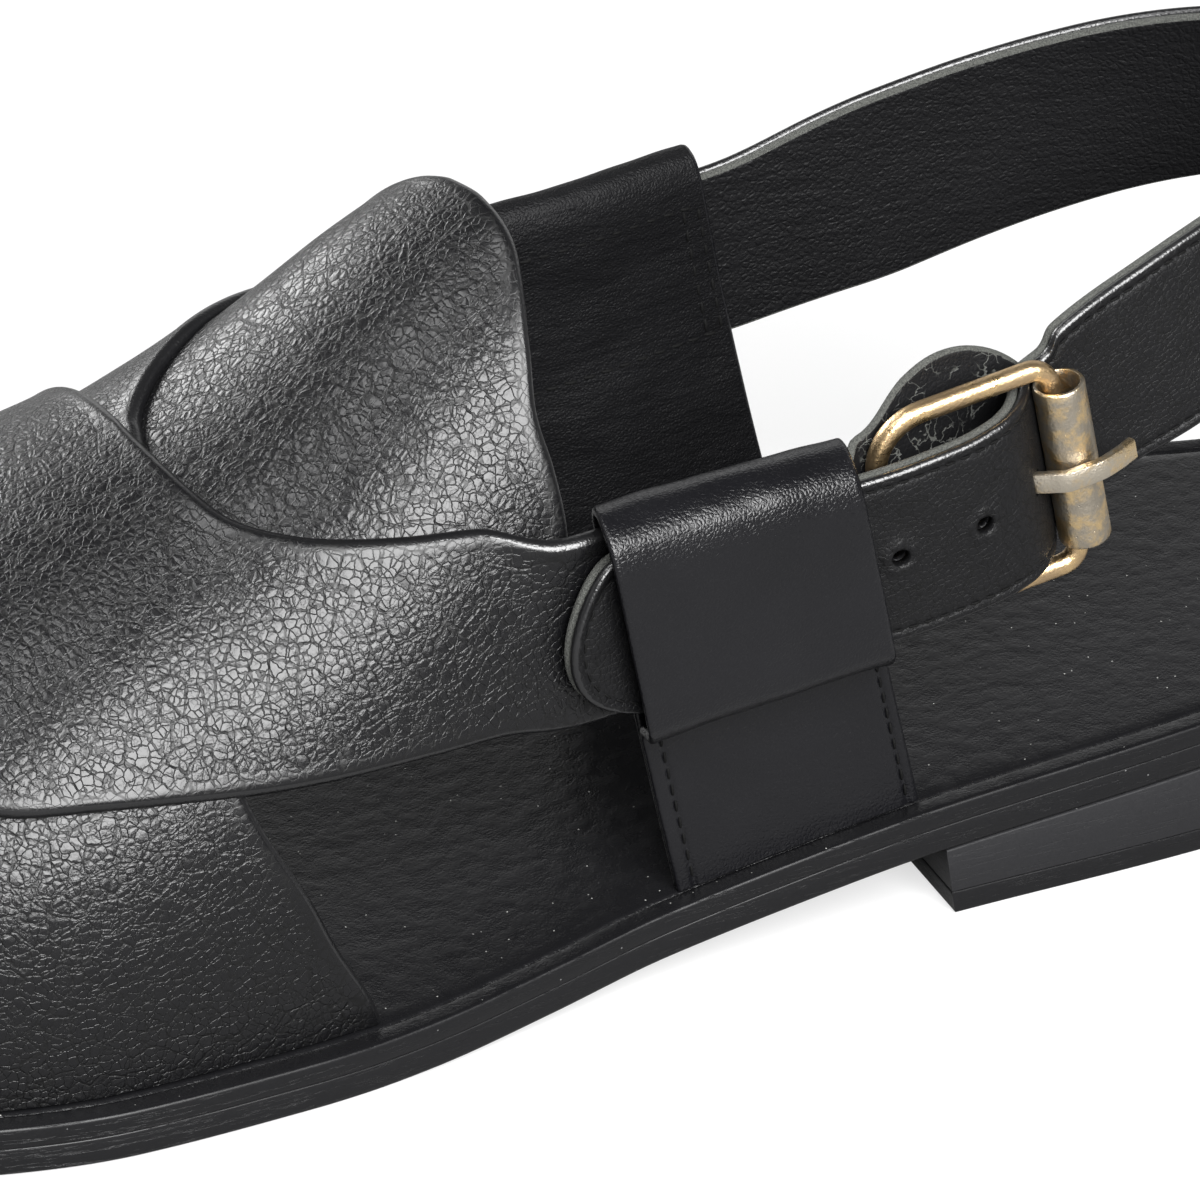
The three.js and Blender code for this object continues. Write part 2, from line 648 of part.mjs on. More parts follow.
// Flat leather along a ribbon whose start is rounded; widening tells how much wider it is
// at a distance from its end
function ribbonBody(ribbon, columns, thickness, half, round, widening = () => 0) {
  const tip = [0, 0.02, 0.08, 0.18, 0.34, 0.55, 0.8].map((share) => share * round);
  const rows = [...tip, ...ribbon.places.filter((s) => s > 0.9 * round)].map(ribbon.frameAt);
  const end = ribbon.places[ribbon.places.length - 1];
  const halfAt = (s) => half * Math.sqrt(1 - clamp(1 - s / round, 0, 1) ** 2) + widening(end - s);
  const grid = (side) => rows.map((row) => sequence(columns + 1, (j) => {
    const offset = (2 * j / columns - 1) * halfAt(row.s);
    const place = row.middle.clone().addScaledVector(row.across, offset);
    return place.addScaledVector(row.out, side * thickness / 2);
  }));
  return gridBody(grid(1), grid(-1));
}

// The heel strap's run: free tip, outer loop, over the pivot bar, between pivot bar and roller,
// behind the roller, round the heel and into the inner loop
const heelRibbon = ribbonThrough(heelStations(), 4.4);
function heelStations() {
  const tipX = 1 + tipReach / loopWidth;
  const roundRoller = (angle, v) => buckleStation(
    buckleReach + strapRoundRoller * Math.cos(angle * degrees), v, strapRoundRoller * Math.sin(angle * degrees));
  const bend = buckleReach - strapRoundRoller;
  const tip = tunnelPoint(outerLoop, tipX, strapOverLoop + gap, 0);
  return [
    { middle: tip, across: vector(0, 0, 1) },
    tunnelStation(outerLoop, 0.95, strapOverLoop),
    tunnelStation(outerLoop, 0.6, strapOverLoop),
    tunnelStation(outerLoop, 0.2, strapOverLoop + gap),
    buckleStation(0, 0, strapOverPin),
    buckleStation(0.26 * buckleReach, 0, strapOverPin),
    buckleStation(0.5 * bend + 0.5 * pin, 0, strapOverPin - gap),
    buckleStation(bend - strapRoundRoller, 0.1 * strapClimb, 0.75 * strapOverPin),
    buckleStation(bend - 0.52 * strapRoundRoller, 0.17 * strapClimb, 0.48 * strapOverPin),
    buckleStation(bend - 0.22 * strapRoundRoller, 0.23 * strapClimb, 0.17 * strapOverPin),
    roundRoller(-168, 0.3 * strapClimb),
    roundRoller(-142, 0.4 * strapClimb),
    roundRoller(-116, 0.5 * strapClimb),
    roundRoller(-90, 0.67 * strapClimb),
    buckleStation(buckleReach + 0.88 * strapRoundRoller, 1.55 * strapClimb, -1.1 * strapRoundRoller, 8),
    ...heelStrapLine.map(lineStation),
    tunnelStation(innerLoop, 0.06, strapOnLoop),
    tunnelStation(innerLoop, 0.26, strapOnLoop),
    tunnelStation(innerLoop, 0.42, strapOnLoop),
  ];
}

function heelStrap() {
  const flared = (left) => heelStrapFlare * smooth(left, 2.6 * flareLength, 1.2 * flareLength)
    * smooth(left, 0.36 * flareLength, 0.8 * flareLength);
  const body = ribbonBody(heelRibbon, 4, heelStrapThickness, strapHalf, tipRound, flared);
  const firstHole = placeOnStrap(pivot.x) - holeOffset;
  const holes = [firstHole, firstHole + holePitch].map((s) => {
    const { middle, out } = heelRibbon.frameAt(s);
    return pegBody(middle, out, strapHole / 2, heelStrapThickness);
  });
  return cut(body, [...holes, prongStrip(prongWidth + 2 * gap, prongThickness + 2 * gap)]);
}

// Distance along the heel strap at which it comes back to an x
function placeOnStrap(x) {
  let s = 0;
  while (heelRibbon.frameAt(s).middle.x > x) s += 0.1;
  return s;
}

// Short round peg through a place, for punching a hole
function pegBody(place, axis, radius, reach) {
  const first = vector(0, 0, 1).addScaledVector(axis, -axis.z).normalize();
  const second = axis.clone().cross(first);
  return barBody([-reach, reach].map((d) => place.clone().addScaledVector(axis, d)), first, second, radius, 14);
}

// Straight round bar between places, its section set by two directions
function barBody(places, first, second, radius, sides) {
  const spokes = sequence(sides, (j) => {
    const angle = 2 * Math.PI * j / sides;
    return first.clone().multiplyScalar(radius * Math.cos(angle))
      .addScaledVector(second, radius * Math.sin(angle));
  });
  const corners = places.flatMap((place) => spokes.map((spoke) => place.clone().add(spoke)));
  const faces = [];
  spokes.forEach((_, j) => {
    const next = (j + 1) % sides;
    faces.push([j, next, sides + next], [j, sides + next, sides + j]);
    if (j > 0 && next > 0) faces.push([0, next, j], [sides, sides + j, sides + next]);
  });
  return closedBody(corners, faces);
}

// Round ring about an axis along v
function ringBody(u, n, bottom, top, innerRadius, outerRadius, sides) {
  const section = [[outerRadius, bottom], [outerRadius, top], [innerRadius, top], [innerRadius, bottom]];
  const corners = [];
  const faces = [];
  for (let j = 0; j < sides; j += 1) {
    const angle = 2 * Math.PI * j / sides;
    const next = ((j + 1) % sides) * 4;
    section.forEach(([radius, v], k) => {
      corners.push(bucklePoint(u + radius * Math.cos(angle), v, n + radius * Math.sin(angle)));
      const [a, b] = [j * 4 + k, j * 4 + (k + 1) % 4];
      faces.push([a, b, next + (k + 1) % 4], [a, next + (k + 1) % 4, next + k]);
    });
  }
  return closedBody(corners, faces);
}

// Wire frame with round corners: pivot bar, two long bars and the bar inside the roller
function buckleFrame() {
  const steps = 5;
  const farBar = buckleReach - rollerShift;
  const cornerAt = (u, v, radius, from) => sequence(steps + 1, (i) => {
    const angle = (from + 90 * i / steps) * degrees;
    return { u: u + radius * Math.cos(angle), v: v + radius * Math.sin(angle), angle };
  });
  const [low, high] = [frameRise - frameHalf, frameRise + frameHalf];
  const path = [
    ...cornerAt(farBar - farCorner, high - farCorner, farCorner, 0),
    ...cornerAt(nearCorner, high - nearCorner, nearCorner, 90),
    ...cornerAt(nearCorner, low + nearCorner, nearCorner, 180),
    ...cornerAt(farBar - farCorner, low + farCorner, farCorner, 270),
  ];
  const sides = 10;
  const corners = path.flatMap(({ u, v, angle }) => sequence(sides, (j) => {
    const turn = 2 * Math.PI * (j + 0.5) / sides;
    const reach = pin * Math.cos(turn);
    return bucklePoint(u + reach * Math.cos(angle), v + reach * Math.sin(angle), pin * Math.sin(turn));
  }));
  const faces = [];
  path.forEach((_, i) => {
    const next = (i + 1) % path.length;
    for (let j = 0; j < sides; j += 1) {
      const side = (j + 1) % sides;
      faces.push([i * sides + j, i * sides + side, next * sides + side]);
      faces.push([i * sides + j, next * sides + side, next * sides + j]);
    }
  });
  return closedBody(corners, faces);
}

function buckleRoller() {
  const half = frameHalf - farCorner - gap;
  return ringBody(buckleReach, 0, frameRise - half, frameRise + half, rollerRadius - rollerWall, rollerRadius, 20);
}

// Strip of the prong from the pivot bar, through the strap and over the roller to the tip
function prongStrip(width, thickness) {
  const crest = rollerRadius + gap + prongThickness / 2;
  const start = pin + gap + prongThickness / 2;
  const stations = [
    [0, start],
    [0.24 * buckleReach, 0.64 * start],
    [0.5 * buckleReach, 0.45 * start],
    [0.7 * buckleReach, 0.55 * start],
    [buckleReach - 1.4 * rollerRadius, 0.66 * crest],
    [buckleReach - 0.55 * rollerRadius, crest],
    [buckleReach + 0.45 * rollerRadius, crest],
    [buckleReach + 1.5 * rollerRadius, crest - 0.27 * rollerRadius],
    [buckleReach + 2.2 * rollerRadius, crest - 0.6 * rollerRadius],
  ];
  const grid = (side) => stations.map(([u, n]) => [-0.5, 0.5].map((edge) =>
    bucklePoint(u, frameRise + edge * width, n + side * thickness / 2)));
  return gridBody(grid(1), grid(-1));
}

function buckleProng() {
  const [low, high] = [frameRise - prongWidth / 2, frameRise + prongWidth / 2];
  const ring = ringBody(0, 0, low, high, pin + gap, pin + gap + prongThickness, 16);
  return joined([prongStrip(prongWidth, prongThickness), ring]);
}

// Leather that holds the pivot bar, with its long round flap behind the buckle and a slot for the prong
function buckleFlap() {
  const stations = [
    buckleStation(buckleReach, flapClimb, -flapUnderRoller, 14),
    buckleStation(0.75 * buckleReach, 0.82 * flapClimb, -0.86 * flapUnderRoller, 12),
    buckleStation(0.5 * buckleReach, 0.63 * flapClimb, -0.68 * flapUnderRoller, 9),
    buckleStation(0.25 * buckleReach, 0.43 * flapClimb, -0.48 * flapUnderRoller, 5),
    buckleStation(0, 0.24 * flapClimb, -flapUnderPin, 0),
    buckleStation(-0.35 * pivotReach, 0.2 * flapClimb, -0.95 * flapUnderPin, 0),
    tunnelStation(outerLoop, 0.02, flapOnLoop),
    tunnelStation(outerLoop, 0.34, flapOnLoop),
  ];
  const half = flapWidth / 2;
  const narrowed = (left) => -flapTaper * smooth(left, 0.75 * loopWidth, 0.45 * loopWidth);
  const plate = ribbonBody(ribbonThrough(stations, 4), 6, flapThickness, half, half, narrowed);
  const slotHalf = prongWidth / 2 + 2 * gap;
  const wraps = [frameRise + slotHalf, frameRise - slotHalf - wrapLength].map((low) =>
    ringBody(0, 0, low, low + wrapLength, pin + gap, pin + gap + wrapLeather, 16));
  const reach = pin + prongThickness + 3 * gap;
  const slotGrid = (n) => [-reach, reach].map((u) => [-slotHalf, slotHalf].map((v) =>
    bucklePoint(u, frameRise + v, n)));
  const slot = gridBody(slotGrid(0), slotGrid(-pin - prongThickness - flapThickness - 4 * gap));
  return joined([cut(plate, [slot]), ...wraps]);
}

const originX = soleLength / 2;
const originY = (outline[9].outer - outline[9].inner) * ballWidth / 2;
const leather = { color: 0x15151a, roughness: 0.42, metalness: 0 };
const smoothLeather = { color: 0x101014, roughness: 0.34, metalness: 0 };
const soleEdge = { color: 0x232326, roughness: 0.55, metalness: 0 };
const brass = { color: 0xc8a468, roughness: 0.3, metalness: 1 };

function piece(name, geometry, look) {
  geometry.translate(-originX, -originY, 0);
  geometry.computeVertexNormals();
  const mesh = new THREE.Mesh(geometry, new THREE.MeshStandardMaterial(look));
  mesh.name = name;
  return mesh;
}

const chappal = new THREE.Group();
chappal.add(
  piece("outsole", outsole(), soleEdge),
  piece("midsole", midsole(), soleEdge),
  piece("heel_block", heelBlock(), soleEdge),
  piece("heel_lift", heelLift(), soleEdge),
  piece("insole", insole(), smoothLeather),
  piece("upper", upper(), leather),
  piece("outer_loop", loopBody(outerLoop, outerTunnel), smoothLeather),
  piece("inner_loop", loopBody(innerLoop, innerTunnel), smoothLeather),
  piece("heel_strap", heelStrap(), leather),
  piece("buckle_flap", buckleFlap(), smoothLeather),
  piece("buckle_frame", buckleFrame(), brass),
  piece("buckle_roller", buckleRoller(), brass),
  piece("buckle_prong", buckleProng(), brass),
);

export default chappal;
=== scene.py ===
import math

import bmesh
import bpy
import numpy as np
from mathutils import Matrix, Vector


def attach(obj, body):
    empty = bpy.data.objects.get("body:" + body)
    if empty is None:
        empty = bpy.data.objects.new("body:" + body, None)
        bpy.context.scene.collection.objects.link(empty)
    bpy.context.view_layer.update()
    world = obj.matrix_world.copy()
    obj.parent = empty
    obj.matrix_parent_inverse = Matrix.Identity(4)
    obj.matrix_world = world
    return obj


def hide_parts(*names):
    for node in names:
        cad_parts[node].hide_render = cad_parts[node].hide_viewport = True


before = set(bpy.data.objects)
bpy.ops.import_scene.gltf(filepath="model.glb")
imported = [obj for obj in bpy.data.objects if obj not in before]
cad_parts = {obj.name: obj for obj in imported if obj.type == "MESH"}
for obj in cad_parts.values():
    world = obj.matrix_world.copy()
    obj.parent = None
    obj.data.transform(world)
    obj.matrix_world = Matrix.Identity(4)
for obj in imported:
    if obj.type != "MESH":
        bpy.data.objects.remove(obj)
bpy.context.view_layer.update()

# Sizes of the last and the sole, as in the solids
SOLE_LENGTH = 284.0
BALL_WIDTH = 98.7
INSTEP_HEIGHT = 84.0
HEEL_LENGTH = 84.7
HEEL_HEIGHT = 9.7
SEAT_RISE = 6.1
TOE_SPRING = 9.0
BREAST_SLANT = 1.5
OUTSOLE = 3.7
MIDSOLE = 2.7
LIFT = 3.2
INSOLE = 2.4
WELT = 6.0
GAP = 0.3
SOLE = OUTSOLE + GAP + MIDSOLE
SEAT_SLOPE = SEAT_RISE / HEEL_LENGTH

# Sizes of the leather pieces
TONGUE_LEATHER = 1.8
UNDER_LEATHER = 2.2
OVER_LEATHER = 2.6
LOOP_LEATHER = 1.4
LOOP_WIDTH = 33.8
STRAP_WIDTH = 24.0
STRAP_FLARE = 1.3
FLARE_LENGTH = 50.0
STRAP = 2.8
TIP_ROUND = 12.0
TIP_REACH = 7.6
HOLE = 2.4
HOLE_PITCH = 11.3
HOLE_OFFSET = 0.9
TUNNEL_HEIGHT = STRAP_WIDTH + 9.5
STRAP_HALF = STRAP_WIDTH / 2
STRAP_ON_LOOP = LOOP_LEATHER + 2 * GAP + STRAP / 2
STRAP_OVER_LOOP = STRAP_ON_LOOP + OVER_LEATHER + GAP
TUNNEL_ROOM = 3.2
OUTER_TUNNEL = OVER_LEATHER + STRAP + TUNNEL_ROOM
INNER_TUNNEL = STRAP + 0.6 * TUNNEL_ROOM

# Sizes of the buckle and its flap
PIN = 1.3
PIVOT_REACH = 3.4
PIVOT_RISE = 1.1
REACH = 25.0
FRAME_RISE = 0.8
NEAR_CORNER = 7.0
FAR_CORNER = 2.6
ROLLER = 3.3
ROLLER_WALL = 0.6
PRONG_WIDTH = 2.8
PRONG = 1.2
FLAP = 1.3
FLAP_WIDTH = 29.0
FLAP_TAPER = 2.4
FLAP_CLIMB = 7.1
STRAP_CLIMB = 3.0
WRAP_LEATHER = 0.9
WRAP_LENGTH = 6.4
FRAME_HALF = STRAP_HALF + 1.1 + PIN
FAR_BAR = REACH - (ROLLER - ROLLER_WALL - PIN - GAP)
STRAP_OVER_PIN = PIN + GAP + PRONG + GAP + STRAP / 2
ROUND_ROLLER = ROLLER + GAP + STRAP / 2
FLAP_UNDER_PIN = PIN + GAP + FLAP / 2
FLAP_UNDER_ROLLER = ROUND_ROLLER + STRAP / 2 + 2 * GAP + FLAP / 2
FLAP_ON_LOOP = LOOP_LEATHER + 3.5 * GAP + FLAP / 2

# Outline of the sole: share of its length, outer and inner half width as shares of the ball width
OUTLINE = [
    (0.06, 0.286, 0.294), (0.12, 0.337, 0.342), (0.2, 0.359, 0.336), (0.28, 0.369, 0.314),
    (0.36, 0.382, 0.284), (0.44, 0.395, 0.289), (0.5, 0.4255, 0.319), (0.56, 0.46, 0.375),
    (0.62, 0.485, 0.446), (0.7, 0.4975, 0.5025), (0.8, 0.445, 0.49), (0.9, 0.319, 0.39),
]
HEEL_ROUNDNESS = 2.2
TOE_ROUNDNESS = 1.55
TREAD_START = 0.597
TREAD_END = 0.754

# Top of the last: share of the sole's length, height as a share of the instep height
CROWN = [
    (0.317, 1.071), (0.44, 1.046), (0.482, 0.996), (0.521, 0.94), (0.553, 0.873), (0.574, 0.824),
    (0.606, 0.749), (0.634, 0.694), (0.676, 0.636), (0.743, 0.549), (0.792, 0.495), (0.845, 0.423),
    (0.908, 0.318),
]
SECTION_POWER = 2.4
RIDGE = 0.0304 * BALL_WIDTH
SIDE_BULGE = 0.055
ARCH_BELLY = 0.058 * BALL_WIDTH

# Strap edges on the last: rear, rear turn, front and front turn, in shares of the length and degrees
OVER_STRAP = [
    (0.581, 180, 0.838, 180), (0.606, 164, 0.827, 150), (0.627, 145, 0.813, 115), (0.634, 124, 0.803, 88),
    (0.631, 105, 0.789, 66), (0.628, 90, 0.768, 51), (0.624, 80.5, 0.737, 41.5), (0.613, 67.5, 0.698, 37),
    (0.589, 57.5, 0.638, 31), (0.553, 48.5, 0.57, 24.5), (0.513, 41.5, 0.524, 20.5), (0.469, 35, 0.45, 15),
    (0.411, 27, 0.397, 12.5),
]
UNDER_STRAP = [
    (0.581, 0, 0.838, 0), (0.602, 8, 0.834, 12), (0.614, 15, 0.831, 25), (0.637, 30.5, 0.822, 45),
    (0.648, 50, 0.813, 65), (0.641, 72, 0.801, 92), (0.628, 85, 0.789, 108), (0.621, 91, 0.768, 126),
    (0.607, 98, 0.739, 138), (0.583, 107.5, 0.69, 146), (0.548, 121, 0.616, 152), (0.497, 134, 0.528, 156),
    (0.42, 144, 0.42, 160),
]
TONGUE = [
    (0.483, 28, 0.514, 28), (0.48, 36, 0.528, 36), (0.482, 43, 0.563, 43), (0.485, 50, 0.592, 50),
    (0.481, 58.5, 0.627, 58.5), (0.473, 74, 0.662, 74), (0.475, 84, 0.676, 84), (0.484, 95, 0.669, 95),
    (0.493, 105, 0.641, 105), (0.5, 120, 0.592, 120), (0.493, 136, 0.535, 136), (0.479, 148, 0.5, 148),
]

# The loops, and the outer face of their tunnel as shares of its depth and height
OUTER_LOOP = {"side": 1, "rear": 0.3115, "seam": 22.0, "shift": 12.0, "lean": 0.6, "bow": -0.9,
              "drop": 1.5, "lift": 1.5, "slide": 0.17}
INNER_LOOP = {"side": -1, "rear": 0.28, "seam": 29.0, "shift": 13.0, "lean": -3.2, "bow": 2.2,
              "drop": 1.7, "lift": -0.5, "slide": 0.0}
LOOP_FOLD = [
    (0.5, 0.035), (0.82, 0.085), (0.97, 0.16), (1.0, 0.36), (1.0, 0.62), (0.98, 0.8), (0.89, 0.91),
    (0.68, 0.975), (0.45, 1.0), (0.22, 0.985), (0.07, 0.94), (0.0, 0.86),
]

# Middle line of the heel strap: share of the length, of the ball width, of the instep height, inward lean
HEEL_LINE = [
    (0.197, 0.291, 0.622, 8), (0.165, 0.278, 0.656, 10),
    (0.123, 0.243, 0.687, 12), (0.081, 0.177, 0.704, 14), (0.049, 0.091, 0.709, 15),
    (0.037, 0.0, 0.71, 16), (0.049, -0.101, 0.705, 15), (0.0845, -0.1975, 0.69, 13),
    (0.134, -0.2634, 0.662, 9), (0.194, -0.3, 0.623, 4), (0.2535, -0.313, 0.584, 1),
]

ORIGIN = np.array([SOLE_LENGTH / 2, (OUTLINE[9][1] - OUTLINE[9][2]) * BALL_WIDTH / 2, 0.0])
METRE = 0.001


# ---- Curves and places on the shoe ----

def smooth(value, low, high):
    share = np.clip((np.asarray(value, float) - low) / (high - low), 0, 1)
    return share * share * (3 - 2 * share)


def mix(a, b, share):
    return a + (b - a) * share


def unit(vectors):
    return vectors / np.linalg.norm(vectors, axis=-1, keepdims=True)


def run_along(points):
    """Length along a line at each of its points."""
    return np.concatenate([[0], np.cumsum(np.linalg.norm(np.diff(points, axis=0), axis=1))])


def round_tip(t, tip):
    """Share of a ribbon's half width at t, rising over its round tip."""
    return np.sqrt(1 - np.clip(1 - t / tip, 0, 1) ** 2)


def ridge_line(distance, spread):
    """1 on a line, falling softly to 0 away from it."""
    return np.exp(-(distance / spread) ** 2)


def curve_through(positions, values):
    """Smooth curve that never swings past its rows."""
    places = np.array(positions, float)
    heights = np.array(values, float)
    slopes = np.diff(heights) / np.diff(places)
    tangents = np.zeros(len(heights))
    tangents[0] = slopes[0]
    tangents[-1] = slopes[-1]
    before, after = slopes[:-1], slopes[1:]
    same = before * after > 0
    tangents[1:-1] = np.where(same, 2 * before * after / np.where(same, before + after, 1), 0)

    def value_at(position):
        x = np.clip(position, places[0], places[-1])
        i = np.clip(np.searchsorted(places, x) - 1, 0, len(places) - 2)
        span = places[i + 1] - places[i]
        t = (x - places[i]) / span
        u = 1 - t
        ends = heights[i] * (1 + 2 * t) * u * u + heights[i + 1] * t * t * (3 - 2 * t)
        return ends + tangents[i] * span * t * u * u - tangents[i + 1] * span * t * t * u

    return value_at


outline_rows = np.array(OUTLINE)
outer_half = curve_through(outline_rows[:, 0] * SOLE_LENGTH, outline_rows[:, 1] * BALL_WIDTH)
inner_half = curve_through(outline_rows[:, 0] * SOLE_LENGTH, outline_rows[:, 2] * BALL_WIDTH)
crown_rows = np.array(CROWN)
crown_height = curve_through(crown_rows[:, 0] * SOLE_LENGTH, crown_rows[:, 1] * INSTEP_HEIGHT)


def half_width(x, side):
    heel_end = OUTLINE[0][0] * SOLE_LENGTH
    toe_end = OUTLINE[-1][0] * SOLE_LENGTH
    back = np.clip((heel_end - x) / heel_end, 0, 1)
    ahead = np.clip((x - toe_end) / (SOLE_LENGTH - toe_end), 0, 1)
    half = np.where(np.asarray(side) > 0, outer_half(x), inner_half(x))
    return half * np.sqrt(1 - back ** HEEL_ROUNDNESS) * np.sqrt(1 - ahead ** TOE_ROUNDNESS)


def heel_seat(x):
    return HEEL_HEIGHT + (HEEL_LENGTH - x) * SEAT_SLOPE


def sole_bottom(x):
    x = np.asarray(x, float)
    span = TREAD_START * SOLE_LENGTH - HEEL_LENGTH
    t = np.clip((TREAD_START * SOLE_LENGTH - x) / span, 0, 1)
    arch = HEEL_HEIGHT * (3 * t * t - 2 * t ** 3) + SEAT_SLOPE * span * (t ** 3 - t * t)
    spring = np.clip((x - TREAD_END * SOLE_LENGTH) / ((1 - TREAD_END) * SOLE_LENGTH), 0, 1)
    return np.where(x < HEEL_LENGTH, heel_seat(x), arch + TOE_SPRING * spring ** 2)


def sole_top(x):
    return sole_bottom(x) + SOLE


def outline_point(turn, side, inset):
    """Place on the sole's outline, a turn from heel (0) to toe (1), moved inward by the inset."""
    turn = np.asarray(turn, float)

    def on_edge(share):
        x = SOLE_LENGTH * (1 - np.cos(np.pi * share)) / 2
        return np.stack([x, side * half_width(x, side)], -1)

    step = 1e-3
    along = unit(on_edge(np.minimum(1, turn + step)) - on_edge(np.maximum(0, turn - step)))
    inward = np.stack([along[..., 1], -along[..., 0]], -1) * side * inset
    place = on_edge(turn) + inward
    flat_end = np.where(turn <= 0, inset, SOLE_LENGTH - inset)
    at_end = (turn <= 0) | (turn >= 1)
    return np.stack([np.where(at_end, flat_end, place[..., 0]), np.where(at_end, 0, place[..., 1])], -1)


def last_point(x, turn):
    """Place on the last at x, turned in degrees from the outer side over the top to the inner side."""
    x, turn = np.broadcast_arrays(np.asarray(x, float), np.asarray(turn, float))
    side = np.where(turn <= 90, 1, -1)
    share = x / SOLE_LENGTH
    ridge = -RIDGE * (1 - 0.4 * smooth(share, 0.56, 1))
    reach = half_width(x, side) - WELT - side * ridge
    rise = np.clip(np.minimum(turn, 180 - turn), 0, 90)
    bulge = 1 + SIDE_BULGE * np.sin(np.radians(2 * rise)) * np.clip((0.704 - share) / 0.21, 0, 1)
    narrow = np.where(side < 0, 1 - smooth(share, 0.43, 0.58), 0)
    belly = ARCH_BELLY * narrow * np.sin(np.pi * (rise / 90) ** 0.6)
    across = np.abs(np.cos(np.radians(turn))) ** (2 / SECTION_POWER)
    up = np.abs(np.sin(np.radians(turn))) ** (2 / SECTION_POWER)
    y = ridge + side * (reach * bulge * across + belly)
    return np.stack([x, y, sole_top(x) + GAP + crown_height(x) * up], -1)


def off_last(x, turn, off):
    """Place off the last's surface; at the welt it moves sideways only."""
    step = 1.2
    held = np.clip(turn, 2 * step, 180 - 2 * step)
    along = last_point(x + 0.5, held) - last_point(x - 0.5, held)
    round_it = last_point(x, held + step) - last_point(x, held - step)
    normal = unit(np.cross(round_it, along))
    normal[..., 2] *= smooth(np.minimum(turn, 180 - turn), 0, 6)
    return last_point(x, turn) + unit(normal) * np.asarray(off)[..., None]


def loop_point(loop, u, n, h):
    """Place in a loop: u from its rear to its front edge, n outward from its inner face, h up."""
    u, n, h = np.broadcast_arrays(np.asarray(u, float), np.asarray(n, float), np.asarray(h, float))
    foot_x = loop["rear"] * SOLE_LENGTH + u * LOOP_WIDTH
    share = h / (loop["seam"] + TUNNEL_HEIGHT)
    bow = loop["bow"] * np.sin(np.pi * np.clip(share, 0, 1))
    y = half_width(foot_x, loop["side"]) - WELT + GAP - loop["lean"] * share + bow + n
    x = foot_x + loop["shift"] * share + loop["slide"] * n
    sunk = share * mix(loop["drop"], -loop["lift"], u)
    return np.stack([x, loop["side"] * y, sole_top(foot_x) + GAP + h - sunk], -1)


def tunnel_point(loop, u, n, w):
    return loop_point(loop, u, n, loop["seam"] + TUNNEL_HEIGHT / 2 + w)


def loop_share(loop, x):
    share = (loop["seam"] + TUNNEL_HEIGHT / 2) / (loop["seam"] + TUNNEL_HEIGHT)
    return (x - loop["shift"] * share - loop["rear"] * SOLE_LENGTH) / LOOP_WIDTH


def strap_surface(table, lift, loop=None):
    """Place on a strap: t along it, s from its rear to its front edge, off outward from its inner face."""
    rows = np.array(table, float)
    spread = np.linspace(0, 1, len(rows))
    rear, rear_turn, front, front_turn = [curve_through(spread, column) for column in rows.T]

    def place(t, s, off):
        t, s, off = np.broadcast_arrays(t, s, off)
        x = mix(rear(t), front(t), s) * SOLE_LENGTH
        turn = mix(rear_turn(t), front_turn(t), s)
        point = off_last(x, turn, lift(t, s) + off)
        if loop is None:
            return point
        u = loop_share(loop, x)
        into = (smooth(u, 1.52, 1.03) * smooth(t, 0.5, 0.73))[..., None]
        seat = tunnel_point(loop, u, LOOP_LEATHER + GAP + off, TUNNEL_HEIGHT * (0.395 - 0.755 * s))
        return mix(point, seat, into)

    return place


# ---- The buckle's frame of reference, and ribbons ----

FRAME_TILT = math.radians(12)
FRAME_SWING = math.radians(2.8)
FRAME_ALONG = unit(np.array([-math.cos(FRAME_TILT), math.tan(FRAME_SWING), math.sin(FRAME_TILT)]))
FRAME_UP = np.array([math.sin(FRAME_TILT), 0, math.cos(FRAME_TILT)])
FRAME_OUT = unit(np.cross(FRAME_ALONG, FRAME_UP))
PIVOT = tunnel_point(OUTER_LOOP, -PIVOT_REACH / LOOP_WIDTH,
                     STRAP_OVER_LOOP + TUNNEL_ROOM / 2 - STRAP_OVER_PIN, PIVOT_RISE)


def buckle_point(u, v, n):
    """Place at the buckle: u from the pivot bar to the roller, v up, n outward."""
    u, v, n = np.broadcast_arrays(np.asarray(u, float), np.asarray(v, float), np.asarray(n, float))
    return PIVOT + u[..., None] * FRAME_ALONG + v[..., None] * FRAME_UP + n[..., None] * FRAME_OUT


def buckle_station(u, v, n, turn=0.0):
    angle = math.radians(turn)
    return buckle_point(u, v, n), FRAME_UP * math.cos(angle) - FRAME_ALONG * math.sin(angle)


def tunnel_station(loop, u, n):
    across = unit(tunnel_point(loop, u, n, STRAP_HALF) - tunnel_point(loop, u, n, -STRAP_HALF))
    return tunnel_point(loop, u, n, 0), across


def heel_line_station(i):
    def place(row):
        x = row[0] * SOLE_LENGTH
        return np.array([x, row[1] * BALL_WIDTH, sole_top(x) + row[2] * INSTEP_HEIGHT])

    before = place(HEEL_LINE[max(0, i - 1)])
    after = place(HEEL_LINE[min(len(HEEL_LINE) - 1, i + 1)])
    along = unit(after - before)
    up = unit(np.array([0, 0, 1.0]) - along * along[2])
    lean = math.radians(HEEL_LINE[i][3])
    return place(HEEL_LINE[i]), up * math.cos(lean) - np.cross(along, up) * math.sin(lean)


def round_roller(angle, rise):
    turn = math.radians(angle)
    return buckle_station(REACH + ROUND_ROLLER * math.cos(turn), rise, ROUND_ROLLER * math.sin(turn))


